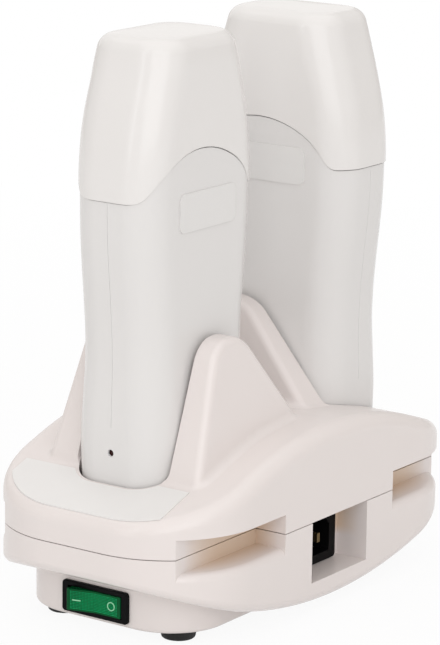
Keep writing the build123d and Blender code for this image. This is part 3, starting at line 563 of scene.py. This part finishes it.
def cutRod(name, start, end, radius, sides=40):
    axis = (Vector(end) - Vector(start)).normalized()
    first = axis.orthogonal().normalized()
    second = axis.cross(first)
    points = []
    for middle in (start, end):
        for step in range(sides):
            swing = 2 * math.pi * step / sides
            points.append(Vector(middle) + (first * math.cos(swing) + second * math.sin(swing)) * radius)
    faces = [(step, (step + 1) % sides, sides + (step + 1) % sides, sides + step) for step in range(sides)]
    faces += [tuple(reversed(range(sides))), tuple(range(sides, 2 * sides))]
    return meshFrom(name, points, faces)


def combine(obj, other, operation, throughWalls=False):
    faceOutward(other.data)
    cut = obj.modifiers.new("combine", "BOOLEAN")
    cut.object = other
    cut.operation = operation
    cut.solver = "EXACT"
    cut.use_self = throughWalls
    settle(obj, outward=False)
    bpy.data.objects.remove(other)


# geometry nodes: sockets hold a name, a kind and a first value
def geometryTree(name, sockets):
    tree = bpy.data.node_groups.new(name, "GeometryNodeTree")
    for label, kind, value in sockets:
        socket = tree.interface.new_socket(label, in_out="INPUT", socket_type=f"NodeSocket{kind}")
        if value is not None:
            socket.default_value = value
    tree.interface.new_socket("Geometry", in_out="OUTPUT", socket_type="NodeSocketGeometry")
    return tree, tree.nodes.new("NodeGroupInput").outputs, tree.nodes.new("NodeGroupOutput")


def closeTree(tree, geometry, given, outlet):
    plain = addNode(tree, "GeometryNodeRealizeInstances", {"Geometry": geometry})
    done = addNode(tree, "GeometryNodeSetMaterial", {
        "Geometry": plain.outputs[0], "Material": given["Material"]})
    tree.links.new(done.outputs[0], outlet.inputs[0])
    return tree


def throughTree(obj, tree, values):
    grown = obj.modifiers.new(tree.name, "NODES")
    grown.node_group = tree
    for item in tree.interface.items_tree:
        if item.item_type == "SOCKET" and item.in_out == "INPUT" and item.name in values:
            grown[item.identifier] = values[item.name]


# a skin of rounded rectangles, one for each point of a rail. A rail point holds half depth, half width and
# height, and attributes hold corner and arch; the outline's own size only spreads the columns.
loft = {"width": 80.0, "depth": 44.0, "corner": 15.0, "cornerSteps": 24, "columns": 176, "weld": 0.00002}


def roundedLoftTree():
    tree, given, outlet = geometryTree("roundedLoft", (
        ("Geometry", "Geometry", None), ("Width", "Float", 0.08), ("Depth", "Float", 0.04),
        ("Corner", "Float", 0.015), ("Columns", "Int", 176), ("Arch Rise", "Float", 0.0),
        ("Arch Reach", "Float", 0.04), ("Material", "Material", None),
    ))
    rows = addNode(tree, "GeometryNodeAttributeDomainSize", {"Geometry": given["Geometry"]})
    across = calc(tree, "ADD", given["Columns"], 1)
    grid = addNode(tree, "GeometryNodeMeshGrid", {
        "Vertices X": rows.outputs["Point Count"], "Vertices Y": across}).outputs["Mesh"]
    index = tree.nodes.new("GeometryNodeInputIndex").outputs[0]
    row = calc(tree, "FLOOR", calc(tree, "DIVIDE", calc(tree, "ADD", index, 0.5), across))
    column = calc(tree, "SUBTRACT", index, calc(tree, "MULTIPLY", row, across))
    outline = addNode(tree, "GeometryNodeCurvePrimitiveQuadrilateral", {
        "Width": given["Depth"], "Height": given["Width"]})
    outline = addNode(tree, "GeometryNodeFilletCurve", {
        "Curve": outline.outputs[0], "Count": loft["cornerSteps"], "Radius": given["Corner"]}, mode="POLY")
    around = calc(tree, "DIVIDE", column, given["Columns"])
    spot = addNode(tree, "GeometryNodeSampleCurve", {
        "Curves": outline.outputs[0], "Factor": around}, mode="FACTOR")
    spot = addNode(tree, "ShaderNodeSeparateXYZ", {0: spot.outputs["Position"]}).outputs

    def fromRail(value, kind):
        return addNode(tree, "GeometryNodeSampleIndex", {
            "Geometry": given["Geometry"], "Value": value, "Index": row}, data_type=kind).outputs[0]

    rail = fromRail(tree.nodes.new("GeometryNodeInputPosition").outputs[0], "FLOAT_VECTOR")
    rail = addNode(tree, "ShaderNodeSeparateXYZ", {0: rail}).outputs
    held = {}
    for name in ("corner", "archShare"):
        value = addNode(tree, "GeometryNodeInputNamedAttribute", {"Name": name}, data_type="FLOAT")
        held[name] = fromRail(value.outputs["Attribute"], "FLOAT")
    places = []
    for side, half, full in ((spot[0], rail[0], given["Depth"]), (spot[1], rail[1], given["Width"])):
        straight = calc(tree, "SUBTRACT", calc(tree, "MULTIPLY", full, 0.5), given["Corner"])
        flat = calc(tree, "MAXIMUM", side, calc(tree, "MULTIPLY", straight, -1))
        flat = calc(tree, "MINIMUM", flat, straight)
        share = calc(tree, "DIVIDE", flat, straight)
        along = calc(tree, "MULTIPLY", share, calc(tree, "SUBTRACT", half, held["corner"]))
        growth = calc(tree, "DIVIDE", held["corner"], given["Corner"])
        bend = calc(tree, "MULTIPLY", calc(tree, "SUBTRACT", side, flat), growth)
        places.append(calc(tree, "ADD", along, bend))
    away = calc(tree, "DIVIDE", places[1], calc(tree, "MULTIPLY", given["Arch Reach"], 2))
    curve = addNode(tree, "ShaderNodeFloatCurve", {"Value": calc(tree, "ADD", away, 0.5)})
    line, count = curve.mapping.curves[0], arch["samples"]
    for step in range(1, count):
        line.points.new(step / count, 0.5)
    for step, point in enumerate(line.points):
        point.location = (step / count, archRise((2 * step / count - 1) * arch["reach"]) / archTop)
    curve.mapping.update()
    lift = calc(tree, "MULTIPLY", curve.outputs[0], given["Arch Rise"])
    lift = calc(tree, "MULTIPLY", lift, held["archShare"])
    places.append(calc(tree, "ADD", rail[2], lift))
    place = addNode(tree, "ShaderNodeCombineXYZ", dict(enumerate(places)))
    skin = addNode(tree, "GeometryNodeSetPosition", {"Geometry": grid, "Position": place.outputs[0]})
    skin = addNode(tree, "GeometryNodeMergeByDistance", {
        "Geometry": skin.outputs[0], "Distance": loft["weld"]})
    skin = addNode(tree, "GeometryNodeSetShadeSmooth", {"Geometry": skin.outputs[0]})
    return closeTree(tree, skin.outputs[0], given, outlet)


loftTree = roundedLoftTree()


# rows: height, half depth, half width, corner, share of the arch
def loftedSkin(name, rows, material, rise=0.0):
    points = [(row[1], row[2], row[0]) for row in rows]
    obj = meshFrom(name, points, attributes={
        "corner": [row[3] * mm for row in rows], "archShare": [row[4] for row in rows]})
    throughTree(obj, loftTree, {
        "Width": loft["width"] * mm, "Depth": loft["depth"] * mm, "Corner": loft["corner"] * mm,
        "Columns": loft["columns"], "Arch Rise": rise * mm, "Arch Reach": arch["reach"] * mm,
        "Material": material})
    return settle(obj)


# cap: straight sides, then a taper and a rounded top. Its taper is in (height, width) pairs, and topLean
# is how far a narrow side leans in over its last height, where the rounding takes over.
cap = {
    "edge": 180.85, "top": 247.0, "depth": 44.0, "corner": 15.5, "wall": 1.8, "rimEdge": 0.35,
    "taper": ((168.5, 80.2), (187.0, 80.2), (204.0, 76.6), (221.0, 68.6), (234.0, 61.2), (247.0, 54.8)),
    "thinFrom": 234.0, "thinOver": 13.0, "thinBy": 1.4, "archStart": 226.0,
    "sideTop": 236.2, "sideRows": 21, "topRound": 7.5, "topLean": (3.2, 13.0), "endShare": 0.995,
    "roundRows": 12, "crown": 0.6, "crownLean": 0.09,
    "crownShares": (0.9, 0.78, 0.64, 0.5, 0.35, 0.2, 0.0),
}


def capDepth(z):
    return cap["depth"] - cap["thinBy"] * max(0.0, (z - cap["thinFrom"]) / cap["thinOver"])


def capRows():
    rows = []
    for step in range(cap["sideRows"] + 1):
        z = cap["edge"] + (cap["sideTop"] - cap["edge"]) * step / cap["sideRows"]
        share = max(0.0, 1 - (z - cap["edge"]) / (cap["archStart"] - cap["edge"]))
        rows.append((z, capDepth(z) / 2, sizeAt(cap["taper"], z) / 2, cap["corner"], share))
    radius, lean = cap["topRound"], math.atan(cap["topLean"][0] / cap["topLean"][1])
    end = math.pi / 2 - cap["crownLean"]
    centre = cap["top"] - cap["crown"] - radius * math.sin(end)
    start = centre + radius * math.sin(lean)
    sideX = capDepth(start) / 2 - radius * cap["endShare"]
    sideY = sizeAt(cap["taper"], start) / 2 - radius * math.cos(lean)
    inner = cap["corner"] - radius * math.cos(lean)
    for step in range(cap["roundRows"] + 1):
        swing = lean + (end - lean) * step / cap["roundRows"]
        out = radius * math.cos(swing)
        rows.append((centre + radius * math.sin(swing), sideX + out, sideY + out, inner + out, 0.0))
    low, halfX, halfY, corner, _ = rows[-1]
    for share in cap["crownShares"]:
        z = low + cap["crown"] * (1 - share ** 2)
        rows.append((z, halfX * share, halfY * share, corner * share, 0.0))
    return rows


def makeCap(number):
    obj = loftedSkin(f"arched_cap_{number}", capRows(), materials["capPlastic"], archTop)
    walled(obj, cap["wall"], cap["rimEdge"])
    smoothPiece(obj)
    obj.data.transform(stationOf(number))
    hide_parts(f"cap_{number}")
    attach(obj, f"cap_{number}")


for number in (1, 2):
    makeCap(number)
print("caps: made")


# handheld heater: skin with a seam that starts above the pilot light, and the neck under the cap.
# Width and depth are in (height, size) pairs; neckRim is where the rim's edge starts and its inset.
handset = {
    "bottom": 44.0, "top": 205.0, "edge": 180.5, "corner": 15.0, "footRound": 1.5,
    "wall": 2.2, "rimEdge": 0.35,
    "width": ((44, 71.0), (62, 71.8), (80, 72.2), (96, 71.3), (111, 70.6), (126, 71.6), (140, 73.8),
              (153, 76.4), (166, 78.4), (185, 79.2), (205, 79.2)),
    "depth": ((44, 43.5), (62, 45.0), (80, 45.8), (96, 44.6), (111, 43.0), (126, 42.8), (140, 43.0),
              (153, 43.0), (166, 43.0), (185, 43.0), (205, 43.0)),
    "footShares": (0.0, 0.3, 0.65, 0.9), "footRows": 5, "rowStep": 3.2,
    "archStart": 158.0, "archRows": 12,
    "neckLow": 174.0, "neckInset": 2.15, "neckWall": 1.7, "neckRim": (0.985, 0.4),
    "neckShares": (0.0, 0.25, 0.5, 0.75),
    "seam": 0.12, "seamLow": 86.0, "seamTop": 230.0, "seamReach": 60.0,
    "pilotHeight": 75.2, "pilotRadius": 1.5, "pilotDeep": 4.0,
    "screwPlace": 22.0, "screwHeight": 57.0, "screwWell": 2.9, "screwDeep": 1.8, "cutClear": 3.0,
    "plugWidth": 36.4, "plugDepth": 20.4, "plugLow": 40.0, "plugTop": 47.5,
}


def handsetRow(z, share=0.0):
    return (z, sizeAt(handset["depth"], z) / 2, sizeAt(handset["width"], z) / 2, handset["corner"], share)


def handsetRows():
    low, turn, corner = handset["bottom"], handset["footRound"], handset["corner"]
    _, halfDepth, halfWidth, _, _ = handsetRow(low)
    rows = [(low, (halfDepth - turn) * share, (halfWidth - turn) * share, (corner - turn) * share, 0.0)
            for share in handset["footShares"]]
    for step in range(handset["footRows"]):
        swing = math.pi / 2 * step / handset["footRows"]
        inset = turn * (1 - math.sin(swing))
        z = low + turn * (1 - math.cos(swing))
        rows.append((z, halfDepth - inset, halfWidth - inset, corner - inset, 0.0))
    z = low + turn
    while z < handset["archStart"]:
        rows.append(handsetRow(z))
        z += handset["rowStep"]
    for step in range(handset["archRows"] + 1):
        share = step / handset["archRows"]
        z = handset["archStart"] + (handset["edge"] - handset["archStart"]) * share
        rows.append(handsetRow(z, share))
    return rows


def neckRows():
    rows, shares = [], handset["neckShares"]
    rimShare, rimInset = handset["neckRim"]
    for inset, heights in ((0.0, (*shares, rimShare)), (rimInset, (1.0,)),
                           (handset["neckWall"], (1.0, *reversed(shares)))):
        shrink = handset["neckInset"] + inset
        for share in heights:
            z = handset["neckLow"] + (handset["top"] - handset["neckLow"]) * share
            halfWidth = sizeAt(cap["taper"], z) / 2 - shrink
            rows.append((z, cap["depth"] / 2 - shrink, halfWidth, cap["corner"] - shrink, 0.0))
    return rows + rows[:1]


def handsetShell():
    obj = loftedSkin("handset_shell_1", handsetRows(), materials["handsetPlastic"], archTop)
    walled(obj, handset["wall"], handset["rimEdge"])
    neck = loftedSkin("neck", neckRows(), materials["handsetPlastic"])
    combine(obj, neck, "UNION")
    half, reach, clear = handset["seam"] / 2, handset["seamReach"], handset["cutClear"]
    seam = cutBlock("seam", (-half, -reach, handset["seamLow"]), (half, reach, handset["seamTop"]))
    combine(obj, seam, "DIFFERENCE", throughWalls=True)
    wide, deep = handset["plugWidth"] / 2, handset["plugDepth"] / 2
    plug = cutBlock("plug", (-deep, -wide, handset["plugLow"]), (deep, wide, handset["plugTop"]))
    combine(obj, plug, "DIFFERENCE")
    z = handset["pilotHeight"]
    side = -handsetRow(z)[2]
    start, end = (0, side - clear, z), (0, side + handset["pilotDeep"], z)
    combine(obj, cutRod("pilot", start, end, handset["pilotRadius"]), "DIFFERENCE")
    z = handset["screwHeight"]
    back = -handsetRow(z)[1]
    for y in (-handset["screwPlace"], handset["screwPlace"]):
        start, end = (back - clear, y, z), (back + handset["screwDeep"], y, z)
        combine(obj, cutRod("well", start, end, handset["screwWell"]), "DIFFERENCE")
    return smoothPiece(obj)


handsetShells = {1: handsetShell()}
handsetShells[2] = copyOf(handsetShells[1], "handset_shell_2")
for number, shell in handsetShells.items():
    shell.data.transform(stationOf(number))
    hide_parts(f"handset_front_{number}", f"handset_rear_{number}")
    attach(shell, f"handset_{number}")
print("handsets: made")


# a turned part from (radius, height) points, closed at its poles or where the last point meets the first
def turned(name, profile, sides):
    points, rings = [], []
    for radius, height in profile:
        if radius < 0.001:
            rings.append([len(points)])
            points.append((0, 0, height))
        else:
            rings.append(list(range(len(points), len(points) + sides)))
            for step in range(sides):
                swing = 2 * math.pi * step / sides
                points.append((radius * math.cos(swing), radius * math.sin(swing), height))
    faces = []
    for low, high in zip(rings, rings[1:]):
        for step in range(sides):
            after = (step + 1) % sides
            around = ((low, step), (low, after), (high, after), (high, step))
            faces.append(tuple(dict.fromkeys(ring[at % len(ring)] for ring, at in around)))
    obj = meshFrom(name, points, faces)
    if profile[0] == profile[-1]:
        weld = smoothing["ringWeld"]
        editMesh(obj.data, lambda shape: bmesh.ops.remove_doubles(shape, verts=shape.verts, dist=weld))
    faceOutward(obj.data)
    return obj


# the same part at every point, each turned about its own axis by a seeded chance
def repeatTree():
    tree, given, outlet = geometryTree("repeatedParts", (
        ("Geometry", "Geometry", None), ("Part", "Object", None), ("Lean", "Vector", None),
        ("Size", "Float", 1.0), ("Twist", "Float", 0.0), ("Seed", "Int", 7),
        ("Material", "Material", None),
    ))
    part = addNode(tree, "GeometryNodeObjectInfo", {"Object": given["Part"]}).outputs["Geometry"]
    chance = addNode(tree, "FunctionNodeRandomValue", {"Seed": given["Seed"]}, data_type="FLOAT")
    angle = calc(tree, "MULTIPLY", chance.outputs[1], given["Twist"])
    spin = addNode(tree, "ShaderNodeCombineXYZ", {2: angle}).outputs[0]
    placed = addNode(tree, "GeometryNodeInstanceOnPoints", {
        "Points": given["Geometry"], "Instance": part, "Rotation": given["Lean"], "Scale": given["Size"]})
    spun = addNode(tree, "GeometryNodeRotateInstances", {"Instances": placed.outputs[0], "Rotation": spin})
    return closeTree(tree, spun.outputs[0], given, outlet)


partTree = repeatTree()


def repeated(name, part, places, material, lean=(0, 0, 0), twist=0.0):
    obj = meshFrom(name, places)
    throughTree(obj, partTree, {
        "Part": part, "Lean": Vector(lean), "Size": 1.0, "Twist": twist, "Seed": 7, "Material": material})
    settle(obj, outward=False)
    bpy.data.objects.remove(part)
    return smoothPiece(obj)


# rubber feet: a hollow in the middle for the screw and a groove round the tread
feet = {
    "placeX": 29.6, "placeY": 76.0, "top": 5.0, "hole": 3.8, "holeEdge": 0.5, "sides": 64,
    "groove": 5.3, "grooveDeep": 0.45, "grooveHalf": (0.4, 0.2),
    "outside": ((6.1, 0.0), (6.6, 0.12), (7.0, 0.45), (7.2, 0.95),
                (7.75, 3.9), (7.95, 4.55), (8.0, 4.8), (7.9, 5.0)),
}


def footPlaces(z):
    across, along = feet["placeX"], feet["placeY"]
    return [(x, y, z) for x in (-across, across) for y in (-along, along)]


def makeFeet():
    hole, edge, groove, deep = feet["hole"], feet["holeEdge"], feet["groove"], feet["grooveDeep"]
    wide, narrow = feet["grooveHalf"]
    profile = [
        (hole, feet["top"]), (hole, edge), (hole + edge, 0.0), (groove - wide, 0.0),
        (groove - narrow, deep), (groove + narrow, deep), (groove + wide, 0.0),
        *feet["outside"], (hole, feet["top"]),
    ]
    foot = turned("foot", profile, feet["sides"])
    obj = repeated("rubber_foot_set", foot, footPlaces(0), materials["rubberBlack"])
    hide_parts("rubber_feet")
    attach(obj, "base")


makeFeet()


# screws with a crossed recess; each has its head's radius and height, its shank's radius and its length
screw = {
    "case": (3.2, 2.2, 1.7, 30.2), "caseSeat": 2.8, "caseTwist": 3.1,
    "half": (2.6, 2.0, 1.4, 23.0), "halfSeat": 20.9,
    "dome": ((0.55, 0.03), (0.85, 0.2), (1.0, 0.55)), "point": (0.4, 0.8),
    "recess": 0.42, "recessReach": 0.62, "recessCut": (-1.0, 0.9), "sides": 40,
}


def crossHead(radius, height, shank, length):
    pointWidth, pointLength = screw["point"]
    profile = [
        (0, 0), *((radius * share, low) for share, low in screw["dome"]), (radius, height),
        (shank, height), (shank, length - pointLength), (shank * pointWidth, length), (0, length),
    ]
    obj = turned("screw", profile, screw["sides"])
    wide, thin, (start, end) = radius * screw["recessReach"], screw["recess"], screw["recessCut"]
    for across, along in ((wide, thin), (thin, wide)):
        combine(obj, cutBlock("recess", (-across, -along, start), (across, along, end)), "DIFFERENCE")
    return obj


def makeScrews():
    part, places = crossHead(*screw["case"]), footPlaces(screw["caseSeat"])
    obj = repeated("case_screw_set", part, places, materials["steel"], twist=screw["caseTwist"])
    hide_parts("case_screws")
    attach(obj, "base")
    places = [(0, side * handset["screwPlace"], 0) for side in (-1, 1)]
    lying = (0, math.pi / 2, 0)
    for number in (1, 2):
        part = crossHead(*screw["half"])
        obj = repeated(f"half_screw_set_{number}", part, places, materials["steel"], lean=lying)
        obj.data.transform(Matrix.Translation((-screw["halfSeat"] * mm, 0, handset["screwHeight"] * mm)))
        obj.data.transform(stationOf(number))
        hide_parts(f"half_screws_{number}")
        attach(obj, f"handset_{number}")


makeScrews()


# charging contacts: rounded brass pins in the wells and brass sleeves in the handsets
contacts = {
    "pitch": 20.0, "sides": 48, "low": 32.7, "foot": 0.3, "top": 52.7, "radius": 2.0,
    "dome": 0.9, "domeSteps": 6, "flange": 39.7, "flangeHeight": 1.0, "flangeRadius": 3.2,
    "sleeveLow": 44.3, "sleeveFloor": 57.0, "sleeveTop": 59.0,
    "sleeveInner": 2.3, "sleeveOuter": 3.1, "sleeveLip": 0.2,
}


def pinProfile():
    radius, dome, foot = contacts["radius"], contacts["dome"], contacts["foot"]
    low, top, flange, rim = (contacts[name] for name in ("low", "top", "flange", "flangeRadius"))
    over = flange + contacts["flangeHeight"]
    pin = [(0, low), (radius - foot, low), (radius, low + foot),
           (radius, flange), (rim, flange), (rim, over), (radius, over)]
    for step in range(contacts["domeSteps"] + 1):
        swing = math.pi / 2 * step / contacts["domeSteps"]
        pin.append((radius - dome + dome * math.cos(swing), top - dome + dome * math.sin(swing)))
    return pin + [(0, top)]


def sleeveProfile():
    inner, outer, lip = contacts["sleeveInner"], contacts["sleeveOuter"], contacts["sleeveLip"]
    low, floor, top = contacts["sleeveLow"], contacts["sleeveFloor"], contacts["sleeveTop"]
    return [(0, top), (outer, top), (outer, low + lip), (outer - lip, low),
            (inner + lip, low), (inner, low + lip), (inner, floor), (0, floor)]


def makeContacts():
    places = [(0, side * contacts["pitch"] / 2, 0) for side in (-1, 1)]
    for number in (1, 2):
        for name, profile, node, body in (
            ("contact_pin_set", pinProfile(), "dock_contacts", "base"),
            ("contact_sleeve_set", sleeveProfile(), "handset_sleeves", f"handset_{number}"),
        ):
            part = turned("contact", profile, contacts["sides"])
            obj = repeated(f"{name}_{number}", part, places, materials["contactBrass"])
            obj.data.transform(stationOf(number))
            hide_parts(f"{node}_{number}")
            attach(obj, body)


makeContacts()
print("feet, screws and contacts: made")


# rocker: rounded edges, a lens grid over its face whose studs carry painted glints, and raised marks for on
# and off
rocker = {
    "pivotY": -89.6, "middleZ": 13.7, "tilt": 7.5, "halfLength": 12.8, "faceRise": 5.4, "edge": 0.45,
    "gridColumns": 34, "gridRows": 12, "pitch": 0.66,
    "stud": 0.46, "studTop": 0.5, "studRise": 0.16, "studSink": 0.02,
    "ringRadius": 1.7, "ringSides": 40, "dash": 3.6, "line": 0.42, "markOff": 8.2,
    "markHeights": (-0.05, 0.22),
}


def roundedCopy(node, name, edge, material):
    obj = copyOf(nodes[node], name)

    def clean(shape):
        bmesh.ops.remove_doubles(shape, verts=shape.verts, dist=smoothing["weld"])
        bmesh.ops.dissolve_limit(shape, angle_limit=math.radians(1), verts=shape.verts, edges=shape.edges)

    editMesh(obj.data, clean)
    obj.data.materials.clear()
    obj.data.materials.append(material)
    softEdge(obj, edge, segments=3, angle=40)
    settle(obj, outward=False)
    return smoothPiece(obj)


# point on the rocker's face, across from its middle and up, with the V of its two halves
def onRocker(across, up, proud):
    tilt, half = math.radians(rocker["tilt"]), rocker["halfLength"]
    rise = (rocker["faceRise"] + half * math.sin(tilt)) / math.cos(tilt)
    x, y = across, (half - abs(across)) * math.tan(tilt) - rise - proud
    return Vector((x * math.cos(tilt) - y * math.sin(tilt),
                   rocker["pivotY"] + x * math.sin(tilt) + y * math.cos(tilt), rocker["middleZ"] + up))


def makeRockerGrid():
    columns, rows, pitch = rocker["gridColumns"], rocker["gridRows"], rocker["pitch"]
    half = rocker["stud"] / 2
    ends = ((half, rocker["studSink"]), (half * rocker["studTop"], -rocker["studRise"]))
    points = [(x * size, y, z * size) for size, y in ends for x, z in ((-1, -1), (1, -1), (1, 1), (-1, 1))]
    sides = ((0, 1, 2, 3), (4, 7, 6, 5), (0, 4, 5, 1), (1, 5, 6, 2), (2, 6, 7, 3), (3, 7, 4, 0))
    stud = meshFrom("stud", points, sides)
    faceOutward(stud.data)
    places = [onRocker((column - (columns - 1) / 2) * pitch, (row - (rows - 1) / 2) * pitch, 0)
              for column in range(columns) for row in range(rows)]
    # the studs are painted with glints: a lighter green that glows
    grid = repeated("rocker_grid", stud, places, materials["rockerGlint"])
    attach(grid, "rocker")


def makeRockerMarks():
    points, faces = [], []

    # a raised band between two lines of points, both from the rocker's middle
    def band(inner, outer, closed):
        start, count = len(points), len(inner)
        top = 2 * count
        for lift in rocker["markHeights"]:
            for side in (inner, outer):
                points.extend(onRocker(across, up, lift) for across, up in side)
        for step in range(count if closed else count - 1):
            after = (step + 1) % count
            a, b, c, d = start + step, start + after, start + count + after, start + count + step
            faces.extend([(a, b, c, d), (a + top, d + top, c + top, b + top)])
            faces.extend([(a, a + top, b + top, b), (d, c, c + top, d + top)])
        if not closed:
            for at in (0, count - 1):
                a, d = start + at, start + count + at
                faces.append((a, d, d + top, a + top))

    line, off, sides = rocker["line"] / 2, rocker["markOff"], rocker["ringSides"]
    swings = [2 * math.pi * step / sides for step in range(sides)]
    rings = [[(off + radius * math.cos(swing), radius * math.sin(swing)) for swing in swings]
             for radius in (rocker["ringRadius"] - line, rocker["ringRadius"] + line)]
    band(*rings, True)
    half = rocker["dash"] / 2
    band([(-off - half, -line), (-off + half, -line)], [(-off - half, line), (-off + half, line)], False)
    marks = meshFrom("rocker_marks", points, faces)
    faceOutward(marks.data)
    marks.data.materials.append(materials["rockerMark"])
    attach(marks, "rocker")


def makeRocker():
    body = roundedCopy("switch_rocker", "rocker_lens", rocker["edge"], materials["rockerGreen"])
    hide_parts("switch_rocker")
    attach(body, "rocker")
    makeRockerGrid()
    makeRockerMarks()


makeRocker()
print("rocker: made")
